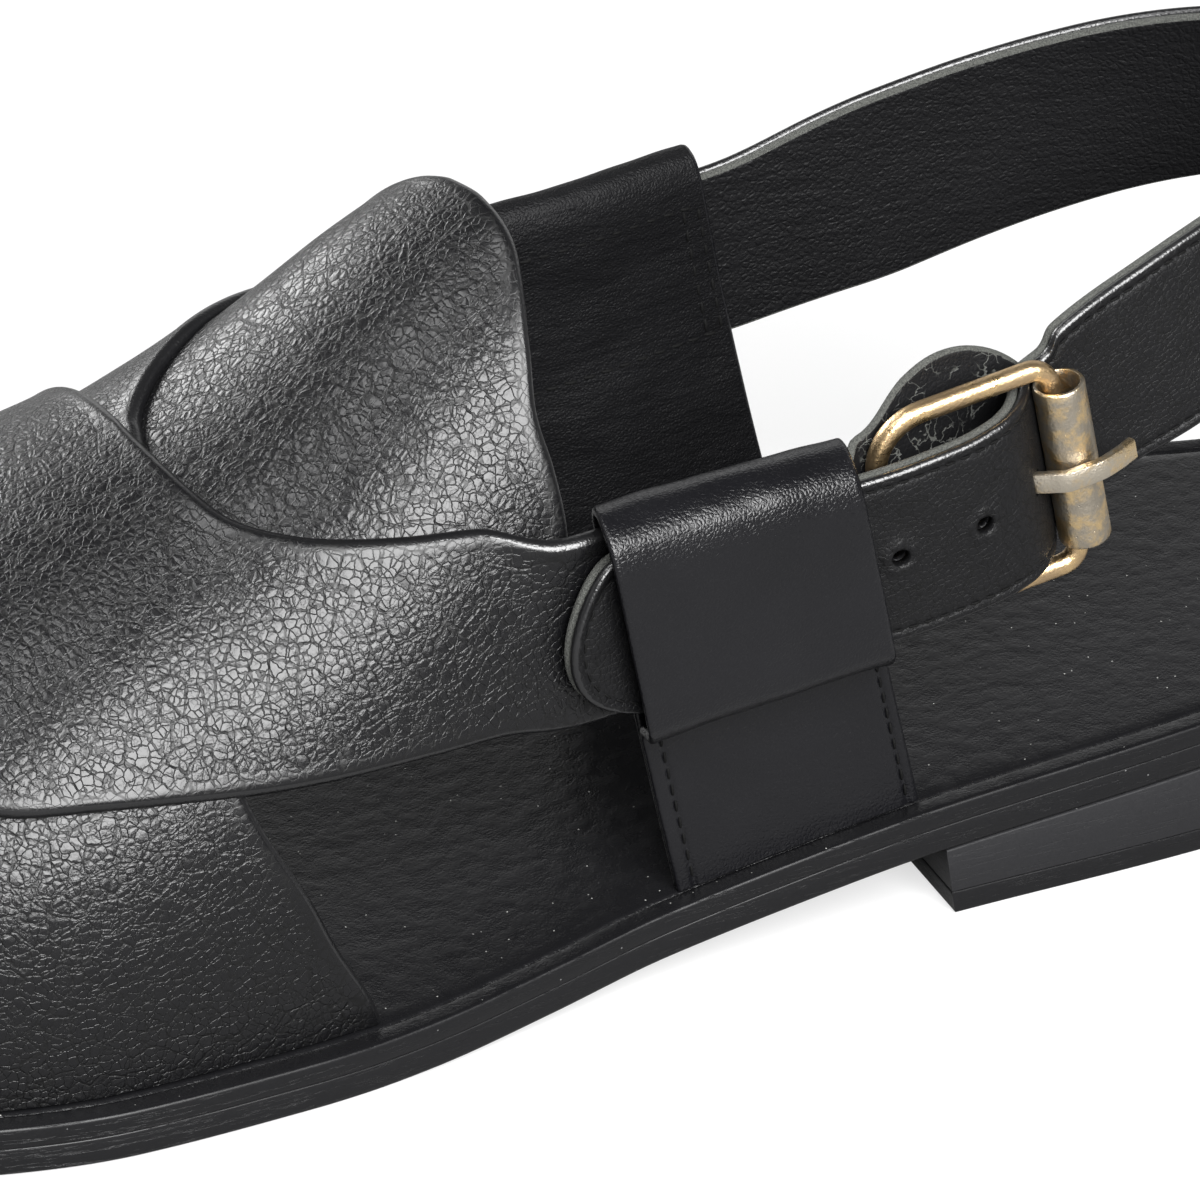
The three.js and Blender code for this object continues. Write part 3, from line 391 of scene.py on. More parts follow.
def ribbon_through(stations):
    """A ribbon's total length, the lengths of its stations, and its frame at any length along it."""
    middles = np.array([middle for middle, _ in stations])
    rows = np.array([row for _, row in stations])
    knots = run_along(middles)
    middle_curves = [curve_through(knots, middles[:, k]) for k in range(3)]
    row_curves = [curve_through(knots, rows[:, k]) for k in range(3)]

    def middle(s):
        return np.stack([curve(s) for curve in middle_curves], -1)

    def frame_at(s):
        along = unit(middle(np.minimum(knots[-1], s + 0.3)) - middle(np.maximum(0, s - 0.3)))
        row = unit(np.stack([curve(s) for curve in row_curves], -1))
        return middle(s), row, unit(np.cross(along, row))

    return knots[-1], knots, frame_at


def ribbon_surface(frame_at, half, tip, widening):
    """Place on a ribbon with a round tip: t millimetres along it, s across, off outward from its middle."""
    def half_at(t):
        return half * round_tip(t, tip) + widening(t)

    def place(t, s, off):
        t, s, off = np.broadcast_arrays(t, s, off)
        middle, row, out = frame_at(t)
        return middle + row * ((2 * s - 1) * half_at(t))[..., None] + out * off[..., None]

    def depth(t, s, straight):
        """Distance from the ribbon's edge, round at its tip."""
        w = (2 * s - 1) * half_at(t)
        rounded = tip - np.hypot(tip - t, w * tip / half)
        return np.where(t < tip, np.clip(rounded, 0, None), straight)

    return place, depth


bend = REACH - ROUND_ROLLER
heel_stations = [
    (tunnel_point(OUTER_LOOP, 1 + TIP_REACH / LOOP_WIDTH, STRAP_OVER_LOOP + GAP, 0), np.array([0, 0, 1.0])),
    tunnel_station(OUTER_LOOP, 0.95, STRAP_OVER_LOOP),
    tunnel_station(OUTER_LOOP, 0.6, STRAP_OVER_LOOP),
    tunnel_station(OUTER_LOOP, 0.2, STRAP_OVER_LOOP + GAP),
    buckle_station(0, 0, STRAP_OVER_PIN),
    buckle_station(0.26 * REACH, 0, STRAP_OVER_PIN),
    buckle_station(0.5 * bend + 0.5 * PIN, 0, STRAP_OVER_PIN - GAP),
    buckle_station(bend - ROUND_ROLLER, 0.1 * STRAP_CLIMB, 0.75 * STRAP_OVER_PIN),
    buckle_station(bend - 0.52 * ROUND_ROLLER, 0.17 * STRAP_CLIMB, 0.48 * STRAP_OVER_PIN),
    buckle_station(bend - 0.22 * ROUND_ROLLER, 0.23 * STRAP_CLIMB, 0.17 * STRAP_OVER_PIN),
    round_roller(-168, 0.3 * STRAP_CLIMB),
    round_roller(-142, 0.4 * STRAP_CLIMB),
    round_roller(-116, 0.5 * STRAP_CLIMB),
    round_roller(-90, 0.67 * STRAP_CLIMB),
    buckle_station(REACH + 0.88 * ROUND_ROLLER, 1.55 * STRAP_CLIMB, -1.1 * ROUND_ROLLER, 8),
    *[heel_line_station(i) for i in range(len(HEEL_LINE))],
    tunnel_station(INNER_LOOP, 0.06, STRAP_ON_LOOP),
    tunnel_station(INNER_LOOP, 0.26, STRAP_ON_LOOP),
    tunnel_station(INNER_LOOP, 0.42, STRAP_ON_LOOP),
]
heel_length, heel_knots, heel_frame = ribbon_through(heel_stations)


# ---- Meshes ----

def mesh_piece(name, corners, faces, looks, kinds=None, values=None, keen=55):
    """Object in metres from corners in millimetres, its faces turned outward and smooth below an angle."""
    mesh = bpy.data.meshes.new(name)
    mesh.from_pydata(((np.asarray(corners) - ORIGIN) * METRE).tolist(), [], faces)
    for look in looks:
        mesh.materials.append(look)
    if kinds is not None:
        mesh.polygons.foreach_set("material_index", kinds)
    for key, numbers in (values or {}).items():
        layer = mesh.attributes.new(key, "FLOAT", "POINT")
        layer.data.foreach_set("value", np.asarray(numbers, float))
    work = bmesh.new()
    work.from_mesh(mesh)
    bmesh.ops.remove_doubles(work, verts=work.verts, dist=2e-6)
    bmesh.ops.dissolve_degenerate(work, edges=work.edges, dist=1e-7)
    bmesh.ops.recalc_face_normals(work, faces=work.faces)
    work.to_mesh(mesh)
    work.free()
    mesh.polygons.foreach_set("use_smooth", np.ones(len(mesh.polygons), bool))
    mesh.set_sharp_from_angle(angle=math.radians(keen))
    piece = bpy.data.objects.new(name, mesh)
    bpy.context.scene.collection.objects.link(piece)
    return piece


def settle(piece, slot, *nodes):
    """The piece rides on the shoe and stands for its solids, which are hidden; its slot is not used."""
    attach(piece, "root")
    if nodes:
        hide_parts(*nodes)
    return piece


def sheet_piece(name, place, rows, thickness, looks, steps=(), columns=30, relief=None, depth_of=None,
                lower=0.0):
    """A sheet of leather with round rims; looks are its face, its lining and its rim."""
    radius = thickness / 2
    rows = np.asarray(rows, float)
    probe = np.linspace(0, 1, 49)
    line = place(rows[:, None], probe[None, :], np.full((1, 1), lower + radius))
    runs = np.cumsum(np.linalg.norm(np.diff(line, axis=1), axis=2), axis=1)
    runs = np.concatenate([np.zeros((len(rows), 1)), runs], axis=1)
    widths = runs[:, -1:]
    rim = radius * (1 - np.cos(np.linspace(0, np.pi / 2, 7)))
    near = np.concatenate([rim, radius + np.asarray(steps, float)])[None, :]
    left = near * np.minimum(1, 0.42 * widths / near[:, -1:])
    inside = np.linspace(0, 1, columns + 1)[None, 1:-1]
    middle = mix(left[:, -1:], widths - left[:, -1:], inside)
    runs_at = np.concatenate([left, middle, widths - left[:, ::-1]], axis=1)
    s = np.stack([np.interp(runs_at[i], runs[i], probe) for i in range(len(rows))])
    t = np.broadcast_to(rows[:, None], s.shape)
    depth = np.clip(np.minimum(runs_at, widths - runs_at), 0, None)
    if depth_of is not None:
        depth = depth_of(t, s, depth)
    swell = radius * np.sqrt(np.clip(1 - (1 - np.minimum(depth, radius) / radius) ** 2, 0, 1))
    raised = relief(t, s, depth) * swell / radius if relief is not None else 0
    top = place(t, s, lower + radius + swell + raised)
    low = place(t, s, lower + radius - swell)
    count, size = s.shape
    corners = np.concatenate([top.reshape(-1, 3), low[:, 1:-1].reshape(-1, 3)])
    values = np.concatenate([depth.reshape(-1), depth[:, 1:-1].reshape(-1)])
    below = count * size

    def upper(i, j):
        return i * size + j

    def under(i, j):
        return i * size + j if j in (0, size - 1) else below + i * (size - 2) + j - 1

    faces = []
    kinds = []
    for i in range(count):
        for j in range(size - 1):
            if i < count - 1:
                at_rim = max(depth[i, j], depth[i, j + 1]) < radius * 0.8
                faces.append((upper(i, j), upper(i + 1, j), upper(i + 1, j + 1), upper(i, j + 1)))
                faces.append((under(i, j), under(i, j + 1), under(i + 1, j + 1), under(i + 1, j)))
                kinds += [2 if at_rim else 0, 2 if at_rim else 1]
            if i in (0, count - 1):
                cap = [upper(i, j), upper(i, j + 1), under(i, j + 1), under(i, j)]
                faces.append(tuple(dict.fromkeys(cap)))
                kinds.append(2)
    return mesh_piece(name, corners, faces, looks, kinds, {"rim": values})


def outline_piece(name, rings, looks, kinds, turns=220):
    """Layer of the sole from rings at an inset and a height, closed across at its bottom and top."""
    share = np.linspace(0, 1, turns + 1)
    corners = []
    for inset, height_of in rings:
        outer = outline_point(share, 1, inset)
        inner = outline_point(share, -1, inset)[-2:0:-1]
        ring = np.concatenate([outer, inner])
        corners.append(np.column_stack([ring, height_of(ring[:, 0])]))
    size = 2 * turns
    faces = []
    marks = []
    for layer in range(len(rings) - 1):
        for k in range(size):
            ahead = (k + 1) % size
            a, b = layer * size + k, layer * size + ahead
            faces.append((a, b, b + size, a + size))
            marks.append(kinds[layer])
    for start, mark in ((0, kinds[0]), ((len(rings) - 1) * size, kinds[-1])):
        for k in range(turns):
            cap = [start + k, start + k + 1, start + (size - k - 1) % size, start + (size - k) % size]
            faces.append(tuple(dict.fromkeys(cap)))
            marks.append(mark)
    return mesh_piece(name, np.concatenate(corners), faces, looks, marks)


def heel_piece(name, levels, look, count=70):
    """Part of the heel from levels at a height, a breast slant and an inset."""
    last_turn = math.acos(1 - 2 * HEEL_LENGTH / SOLE_LENGTH) / math.pi
    turns = np.linspace(0, last_turn, count + 1)
    across = 14
    corners = []
    for height_of, slant, inset in levels:
        outer = outline_point(turns, 1, inset)[::-1]
        inner = outline_point(turns, -1, inset)[1:]
        breast = mix(inner[-1], outer[0], np.linspace(0, 1, across + 1)[1:-1, None])
        ring = np.concatenate([outer, inner, breast])
        x = ring[:, 0] + (slant - inset) * (ring[:, 0] / HEEL_LENGTH) ** 4
        corners.append(np.column_stack([x, ring[:, 1], height_of(x)]))
    size = 2 * count + across
    faces = []
    for layer in range(len(levels) - 1):
        for k in range(size):
            a, b = layer * size + k, layer * size + (k + 1) % size
            faces.append((a, b, b + size, a + size))
    for start in (0, (len(levels) - 1) * size):
        for k in range(count):
            cap = [start + k, start + k + 1, start + 2 * count - k - 1, start + 2 * count - k]
            faces.append(tuple(dict.fromkeys(cap)))
        faces.append(tuple([start] + [start + 2 * count + k for k in range(across - 1, -1, -1)]))
    return mesh_piece(name, np.concatenate(corners), faces, [look], keen=38)


def tube_piece(name, sections, looks, closed, keen=60):
    """Surface through sections of corners of the same count, closed into a ring or capped."""
    sections = np.asarray(sections)
    count, size = sections.shape[:2]
    faces = []
    for i in range(count if closed else count - 1):
        for j in range(size):
            a = i * size + j
            b = i * size + (j + 1) % size
            c = ((i + 1) % count) * size + (j + 1) % size
            d = ((i + 1) % count) * size + j
            faces.append((a, b, c, d))
    if not closed:
        faces.append(tuple(range(size)))
        faces.append(tuple((count - 1) * size + j for j in range(size)))
    return mesh_piece(name, sections.reshape(-1, 3), faces, looks, keen=keen)


def cut_with(piece, cutter):
    """Takes the cutter's shape out of the piece for good."""
    change = piece.modifiers.new("opening", "BOOLEAN")
    change.operation = "DIFFERENCE"
    change.solver = "EXACT"
    change.object = cutter
    scene_state = bpy.context.evaluated_depsgraph_get()
    cut_mesh = bpy.data.meshes.new_from_object(piece.evaluated_get(scene_state))
    piece.modifiers.clear()
    old = piece.data
    piece.data = cut_mesh
    bpy.data.meshes.remove(old)


def drop(piece):
    mesh = piece.data
    bpy.data.objects.remove(piece)
    bpy.data.meshes.remove(mesh)


def thread_piece(name, seams, look, radius=0.2, sides=7):
    """Sewn threads: one rounded stitch for each step of each seam, sunk at both ends."""
    corners = []
    faces = []
    rings = np.array([-1.0, -0.92, -0.7, -0.3, 0.3, 0.7, 0.92, 1.0])
    for points, normals, fill, slant in seams:
        for i in range(len(points) - 1):
            middle = (points[i] + points[i + 1]) / 2
            along = points[i + 1] - points[i]
            length = np.linalg.norm(along) * fill
            along = unit(along)
            out = unit(normals[i] - along * np.dot(normals[i], along))
            side = np.cross(along, out)
            along = unit(along + side * slant)
            side = np.cross(along, out)
            start = len(corners)
            for ring in rings:
                girth = radius * math.sqrt(max(0.02, 1 - abs(ring) ** 5))
                sink = -1.1 * radius * abs(ring) ** 3
                for k in range(sides):
                    angle = 2 * math.pi * k / sides
                    corners.append(middle + along * ring * length / 2 + side * girth * math.cos(angle)
                                   + out * (sink + girth * math.sin(angle)))
            for r in range(len(rings) - 1):
                for k in range(sides):
                    a = start + r * sides + k
                    b = start + r * sides + (k + 1) % sides
                    faces.append((a, b, b + sides, a + sides))
            faces.append(tuple(start + k for k in range(sides)))
            faces.append(tuple(start + (len(rings) - 1) * sides + k for k in range(sides)))
    return mesh_piece(name, corners, faces, [look])


def seam_on(place, ts, ss, off, pitch, fill=0.72, slant=0.1):
    """Seam over a surface through places t and s, stepped by the stitch pitch."""
    fine = np.linspace(0, 1, 400)
    spread = np.linspace(0, 1, len(ts))
    t = np.interp(fine, spread, ts)
    s = np.interp(fine, spread, ss)
    line = place(t, s, np.full(t.shape, off))
    run = run_along(line)
    steps = max(2, int(round(run[-1] / pitch)))
    at = np.interp(np.linspace(0, run[-1], steps + 1), run, fine)
    t = np.interp(at, spread, ts)
    s = np.interp(at, spread, ss)
    points = place(t, s, np.full(t.shape, off))
    normals = unit(place(t, s, np.full(t.shape, off + 0.5)) - place(t, s, np.full(t.shape, off - 0.5)))
    return points, normals, fill, slant


def waves(a, b, scale, seed, count=14):
    """Soft random swell over two coordinates, about -1 to 1."""
    dice = np.random.default_rng(seed)
    total = 0
    for _ in range(count):
        angle = dice.uniform(0, 2 * math.pi)
        rate = 2 * math.pi / (scale * dice.uniform(0.6, 1.7))
        total = total + np.sin(rate * (a * math.cos(angle) + b * math.sin(angle)) + dice.uniform(0, 6.28))
    return total / math.sqrt(count)


# ---- Materials ----

def node(tree, kind, inputs=None, **settings):
    made = tree.nodes.new("ShaderNode" + kind)
    for key, value in settings.items():
        setattr(made, key, value)
    for key, value in (inputs or {}).items():
        if isinstance(value, bpy.types.NodeSocket):
            tree.links.new(value, made.inputs[key])
        else:
            made.inputs[key].default_value = value
    return made


def math_node(tree, operation, *values):
    return node(tree, "Math", dict(enumerate(values)), operation=operation).outputs[0]


def spread_node(tree, value, low, high, out_low=0.0, out_high=1.0):
    inputs = {"Value": value, "From Min": low, "From Max": high, "To Min": out_low, "To Max": out_high}
    return node(tree, "MapRange", inputs, interpolation_type="SMOOTHSTEP").outputs["Result"]


def noise_node(tree, vector, scale, detail=2.0, roughness=0.5):
    inputs = {"Vector": vector, "Scale": scale, "Detail": detail, "Roughness": roughness}
    return node(tree, "TexNoise", inputs).outputs["Fac"]


def cell_edges(tree, vector, scale):
    """Distance to the edges of random cells."""
    inputs = {"Vector": vector, "Scale": scale}
    return node(tree, "TexVoronoi", inputs, feature="DISTANCE_TO_EDGE").outputs["Distance"]


def scale_node(tree, vector, factor):
    return node(tree, "VectorMath", {0: vector, 3: factor}, operation="SCALE").outputs[0]


def new_group(name, numbers, results):
    """Node group with number inputs and named outputs."""
    tree = bpy.data.node_groups.new(name, "ShaderNodeTree")
    for key, value in numbers.items():
        socket = tree.interface.new_socket(key, in_out="INPUT", socket_type="NodeSocketFloat")
        socket.default_value = value
    for key in results:
        tree.interface.new_socket(key, in_out="OUTPUT", socket_type="NodeSocketFloat")
    return tree, tree.nodes.new("NodeGroupInput"), tree.nodes.new("NodeGroupOutput")


def place_group(tree, group, **numbers):
    made = tree.nodes.new("ShaderNodeGroup")
    made.node_tree = group
    for key, value in numbers.items():
        socket = made.inputs[key.replace("_", " ")]
        if isinstance(value, bpy.types.NodeSocket):
            tree.links.new(value, socket)
        else:
            socket.default_value = value
    return made


def millimetres(tree):
    """Place on the object in millimetres."""
    coords = node(tree, "TexCoord").outputs["Object"]
    return scale_node(tree, coords, 1 / METRE)


def pebble_group():
    """Tumbled grain: soft pebbles between thin uneven creases, smaller ones among them, long folds."""
    tree, given, result = new_group("pebble grain", {"Cell": 1.4, "Warp": 0.4, "Long": 0.3},
                                    ["Height", "Crease"])
    place = millimetres(tree)
    scaled = scale_node(tree, place, math_node(tree, "DIVIDE", 1.0, given.outputs["Cell"]))
    noise = node(tree, "TexNoise", {"Vector": scaled, "Scale": 1.5, "Detail": 2.0}).outputs["Color"]
    shift = node(tree, "VectorMath", {0: noise, 1: (0.5, 0.5, 0.5)}, operation="SUBTRACT").outputs[0]
    shift = scale_node(tree, shift, given.outputs["Warp"])
    warped = node(tree, "VectorMath", {0: scaled, 1: shift}, operation="ADD").outputs[0]
    cells = cell_edges(tree, warped, 1.0)
    small = cell_edges(tree, warped, 1.7)
    wide = cell_edges(tree, warped, 0.38)
    depth = noise_node(tree, scaled, 0.4, 2.0)
    tops = spread_node(tree, cells, 0.0, 0.075)
    dome = spread_node(tree, cells, 0.0, 0.5)
    buds = spread_node(tree, small, 0.0, 0.12)
    folds = spread_node(tree, wide, 0.0, 0.07)
    height = math_node(tree, "MULTIPLY", tops, spread_node(tree, depth, 0.35, 0.6, 0.3, 0.55))
    height = math_node(tree, "MULTIPLY_ADD", dome, 0.5, height)
    height = math_node(tree, "MULTIPLY_ADD", buds, spread_node(tree, depth, 0.4, 0.6, 0.2, 0.03), height)
    height = math_node(tree, "MULTIPLY_ADD", folds, given.outputs["Long"], height)
    # Crease mask, 1 in the creases and long folds; the leather uses it to paint shade into them and to
    # roughen them
    dark = spread_node(tree, cells, 0.0, 0.065)
    crease = math_node(tree, "SUBTRACT", 1.0, math_node(tree, "MULTIPLY", dark, folds))
    tree.links.new(height, result.inputs["Height"])
    tree.links.new(crease, result.inputs["Crease"])
    return tree


def fine_group():
    """Fine close grain with soft wrinkles."""
    tree, given, result = new_group("fine grain", {"Cell": 0.4, "Wrinkle": 0.5, "Stretch": 3.0},
                                    ["Height", "Patch"])
    place = millimetres(tree)
    scaled = scale_node(tree, place, math_node(tree, "DIVIDE", 1.0, given.outputs["Cell"]))
    grain = noise_node(tree, scaled, 1.0, 3.0, 0.6)
    cells = cell_edges(tree, scaled, 0.8)
    pebbles = spread_node(tree, cells, 0.0, 0.3)
    parts = node(tree, "SeparateXYZ", {"Vector": place})
    across = math_node(tree, "MULTIPLY", parts.outputs["Z"], given.outputs["Stretch"])
    flow = {"X": parts.outputs["X"], "Y": parts.outputs["Y"], "Z": across}
    flow = node(tree, "CombineXYZ", flow).outputs[0]
    wrinkle = noise_node(tree, flow, 0.22, 5.0, 0.62)
    height = math_node(tree, "MULTIPLY", grain, 0.45)
    height = math_node(tree, "MULTIPLY_ADD", pebbles, 0.2, height)
    wrinkle = math_node(tree, "MULTIPLY", wrinkle, given.outputs["Wrinkle"])
    height = math_node(tree, "MULTIPLY_ADD", wrinkle, 1.6, height)
    patch = noise_node(tree, place, 0.05, 2.0)
    tree.links.new(height, result.inputs["Height"])
    tree.links.new(patch, result.inputs["Patch"])
    return tree


def dust_group():
    """Small pale specks."""
    tree, given, result = new_group("specks", {"Amount": 0.1, "Size": 0.5}, ["Mask"])
    place = millimetres(tree)
    dots = node(tree, "TexVoronoi", {"Vector": place, "Scale": 0.9}, feature="F1")
    near = spread_node(tree, dots.outputs["Distance"], 0.13, 0.05)
    pick = node(tree, "SeparateColor", {"Color": dots.outputs["Color"]}).outputs[0]
    chosen = math_node(tree, "LESS_THAN", pick, given.outputs["Amount"])
    tree.links.new(math_node(tree, "MULTIPLY", near, chosen), result.inputs["Mask"])
    return tree


PEBBLE = pebble_group()
FINE = fine_group()
DUST = dust_group()


def new_material(name, colour, roughness, metallic=0.0, coat=0.0, specular=0.5):
    """Material with a Principled shader, and the tree to add to."""
    look = bpy.data.materials.new(name)
    look.use_nodes = True
    tree = look.node_tree
    shader = tree.nodes["Principled BSDF"]
    shader.inputs["Base Color"].default_value = (*colour, 1)
    shader.inputs["Roughness"].default_value = roughness
    shader.inputs["Metallic"].default_value = metallic
    shader.inputs["Coat Weight"].default_value = coat
    shader.inputs["Coat Roughness"].default_value = 0.25
    shader.inputs["Specular IOR Level"].default_value = specular
    return look, tree, shader


def two_colours(tree, share, first, second):
    mixed = node(tree, "Mix", {"Factor": share}, data_type="RGBA")
    mixed.inputs[6].default_value = (*first, 1)
    mixed.inputs[7].default_value = (*second, 1)
    return mixed.outputs[2]


def bump(tree, shader, height, distance, strength=1.0):
    raised = node(tree, "Bump", {"Height": height, "Distance": distance, "Strength": strength})
    tree.links.new(raised.outputs["Normal"], shader.inputs["Normal"])


DYED_BLACK = (0.004, 0.004, 0.0045)


def pebbled_leather(name, cell, depth, roughness, specular, long_folds=0.5, calm=True):
    """Black tumbled leather with painted shade in its creases; the grain fades into the folded rims."""
    look, tree, shader = new_material(name, DYED_BLACK, roughness, specular=specular)
    grain = place_group(tree, PEBBLE, Cell=cell, Warp=0.45, Long=long_folds)
    height = grain.outputs["Height"]
    if calm:
        rim = node(tree, "Attribute", attribute_name="rim").outputs["Fac"]
        height = math_node(tree, "MULTIPLY", height, spread_node(tree, rim, 1.0, 4.2, 0.22, 1.0))
    # Painted shade: the creases and long folds are coloured darker than the pebble tops
    colour = two_colours(tree, grain.outputs["Crease"], (0.003, 0.003, 0.0034), (0.0006, 0.0006, 0.0007))
    tree.links.new(colour, shader.inputs["Base Color"])
    rough = math_node(tree, "MULTIPLY_ADD", grain.outputs["Crease"], 0.18, roughness)
    tree.links.new(rough, shader.inputs["Roughness"])
    bump(tree, shader, height, depth * METRE)
    return look


def smooth_leather(name, colour, roughness, cell=0.4, wrinkle=0.5, stretch=3.0, depth=0.09, specular=0.38):
    """Black fine-grained leather."""
    look, tree, shader = new_material(name, colour, roughness, specular=specular)
    grain = place_group(tree, FINE, Cell=cell, Wrinkle=wrinkle, Stretch=stretch)
    darker = tuple(0.55 * part for part in colour)
    tree.links.new(two_colours(tree, grain.outputs["Patch"], darker, colour), shader.inputs["Base Color"])
    rough = math_node(tree, "MULTIPLY_ADD", grain.outputs["Patch"], 0.16, roughness - 0.08)
    tree.links.new(rough, shader.inputs["Roughness"])
    bump(tree, shader, grain.outputs["Height"], depth * METRE)
    return look


def cracked_leather(name, colour, pale):
    """Old black leather whose finish has cracked in thin pale lines."""
    look, tree, shader = new_material(name, colour, 0.46, specular=0.35)
    place = millimetres(tree)
    wander = node(tree, "TexNoise", {"Vector": place, "Scale": 0.3, "Detail": 3.0}).outputs["Color"]
    bent = scale_node(tree, wander, 5.0)
    bent = node(tree, "VectorMath", {0: place, 1: bent}, operation="ADD").outputs[0]
    cracks = cell_edges(tree, bent, 0.42)
    spread = noise_node(tree, place, 0.25, 2.0)
    thin = spread_node(tree, cracks, 0.05, 0.015)
    line = math_node(tree, "MULTIPLY", thin, spread_node(tree, spread, 0.42, 0.58))
    tree.links.new(two_colours(tree, line, colour, pale), shader.inputs["Base Color"])
    grain = place_group(tree, FINE, Cell=0.5, Wrinkle=0.6, Stretch=1.0)
    height = math_node(tree, "MULTIPLY_ADD", line, -1.2, grain.outputs["Height"])
    bump(tree, shader, height, 0.12 * METRE)
    return look


def sole_edge_look(name, colour, roughness, lines):
    """Dyed and waxed sole leather with faint lines along its layers."""
    look, tree, shader = new_material(name, colour, roughness, specular=0.2)
    place = millimetres(tree)
    parts = node(tree, "SeparateXYZ", {"Vector": place})
    layered = node(tree, "CombineXYZ", {
        "X": math_node(tree, "MULTIPLY", parts.outputs["X"], 0.05),
        "Y": math_node(tree, "MULTIPLY", parts.outputs["Y"], 0.05),
        "Z": math_node(tree, "MULTIPLY", parts.outputs["Z"], 1.0),
    }).outputs[0]
    streaks = noise_node(tree, layered, 2.2, 4.0, 0.7)
    thin = spread_node(tree, streaks, 0.36, 0.44)
    fine = noise_node(tree, place, 2.5, 3.0)
    specks = place_group(tree, DUST, Amount=0.05)
    darker, lighter = [tuple(share * part for part in colour) for share in (0.8, 1.2)]
    base = two_colours(tree, fine, darker, lighter)
    pale = node(tree, "Mix", {"Factor": specks.outputs["Mask"], 6: base}, data_type="RGBA")
    pale.inputs[7].default_value = (0.12, 0.12, 0.12, 1)
    tree.links.new(pale.outputs[2], shader.inputs["Base Color"])
    rough = math_node(tree, "MULTIPLY_ADD", fine, 0.2, roughness - 0.1)
    tree.links.new(rough, shader.inputs["Roughness"])
    height = math_node(tree, "MULTIPLY_ADD", thin, lines, math_node(tree, "MULTIPLY", fine, 0.12))
    bump(tree, shader, height, 0.09 * METRE)
    return look


def welt_look():
    """Waxed top of the welt: glossy, uneven, with specks."""
    look, tree, shader = new_material("welt_leather", DYED_BLACK, 0.26, specular=0.16)
    place = millimetres(tree)
    uneven = noise_node(tree, place, 0.35, 4.0)
    fine = noise_node(tree, place, 3.0, 2.0)
    specks = place_group(tree, DUST, Amount=0.14)
    pale = node(tree, "Mix", {"Factor": specks.outputs["Mask"]}, data_type="RGBA")
    pale.inputs[6].default_value = (*DYED_BLACK, 1)
    pale.inputs[7].default_value = (0.22, 0.22, 0.21, 1)
    tree.links.new(pale.outputs[2], shader.inputs["Base Color"])
    rough = math_node(tree, "MULTIPLY_ADD", uneven, 0.3, 0.12)
    tree.links.new(rough, shader.inputs["Roughness"])
    height = math_node(tree, "MULTIPLY_ADD", fine, 0.3, uneven)
    bump(tree, shader, height, 0.16 * METRE)
    return look


def raw_edge_look(name, colour, second):
    """Cut leather edge: fibres and uneven dye."""
    look, tree, shader = new_material(name, colour, 0.75)
    place = millimetres(tree)
    fibres = noise_node(tree, place, 4.5, 4.0, 0.7)
    shade = spread_node(tree, fibres, 0.35, 0.65)
    tree.links.new(two_colours(tree, shade, second, colour), shader.inputs["Base Color"])
    bump(tree, shader, fibres, 0.25 * METRE)
    return look


def brass_look(name, colour, tarnish, cover, roughness):
    """Plated metal, worn and tarnished in patches."""
    look, tree, shader = new_material(name, colour, roughness, metallic=1.0)
    place = millimetres(tree)
    cloud = noise_node(tree, place, 0.35, 5.0, 0.65)
    patch = spread_node(tree, cloud, cover, cover + 0.24)
    fine = noise_node(tree, place, 2.4, 4.0)
    pits = node(tree, "TexVoronoi", {"Vector": place, "Scale": 0.8}, feature="F1").outputs["Distance"]
    pitted = spread_node(tree, pits, 0.03, 0.09)
    tree.links.new(two_colours(tree, patch, tarnish, colour), shader.inputs["Base Color"])
    rough = math_node(tree, "MULTIPLY_ADD", patch, -0.12, roughness + 0.1)
    rough = math_node(tree, "MULTIPLY_ADD", fine, 0.12, rough)
    tree.links.new(rough, shader.inputs["Roughness"])
    height = math_node(tree, "MULTIPLY_ADD", pitted, 0.5, math_node(tree, "MULTIPLY_ADD", cloud, 1.4, fine))
    bump(tree, shader, height, 0.07 * METRE)
    return look


COOL_BLACK = (0.004, 0.004, 0.005)
DEEP_BLACK = (0.003, 0.003, 0.0035)
grain_leather = pebbled_leather("pebbled_leather", 1.2, 0.08, 0.27, 0.31)
heel_leather = pebbled_leather("strap_leather", 0.8, 0.05, 0.42, 0.2, 0.3, calm=False)
loop_leather = smooth_leather("loop_leather", COOL_BLACK, 0.3, cell=0.45, wrinkle=0.6, depth=0.12,
                              specular=0.3)
# Painted shade: the inner loop gets a darker, duller copy of the loop leather because it sits in shade
loop_leather_in_shade = smooth_leather("inner_loop_leather_painted_shade", DEEP_BLACK, 0.5, wrinkle=0.9, depth=0.2,
                               specular=0.12)
lining = smooth_leather("lining_leather", DEEP_BLACK, 0.5, cell=0.7, wrinkle=0.6, depth=0.26,
                        specular=0.17)
sock_leather = smooth_leather("sock_leather", COOL_BLACK, 0.44, cell=0.35, wrinkle=0.3, stretch=1.0,
                              depth=0.06, specular=0.16)
folded_edge = smooth_leather("folded_edge", DYED_BLACK, 0.3, cell=0.5, wrinkle=0.2, depth=0.08,
                             specular=0.6)
grey_edge = raw_edge_look("grey_cut_edge", (0.06, 0.062, 0.055), (0.016, 0.017, 0.015))
flap_leather = cracked_leather("flap_leather", DYED_BLACK, (0.07, 0.072, 0.066))
sole_edge = sole_edge_look("sole_edge", (0.005, 0.005, 0.0055), 0.36, 0.5)
heel_edge = sole_edge_look("heel_edge", (0.011, 0.011, 0.012), 0.48, 0.2)
sole_under = sole_edge_look("sole_underside", (0.03, 0.03, 0.031), 0.6, 0.1)
welt_leather = welt_look()
wire_brass = brass_look("buckle_wire", (0.7, 0.5, 0.26), (0.46, 0.33, 0.19), 0.4, 0.22)
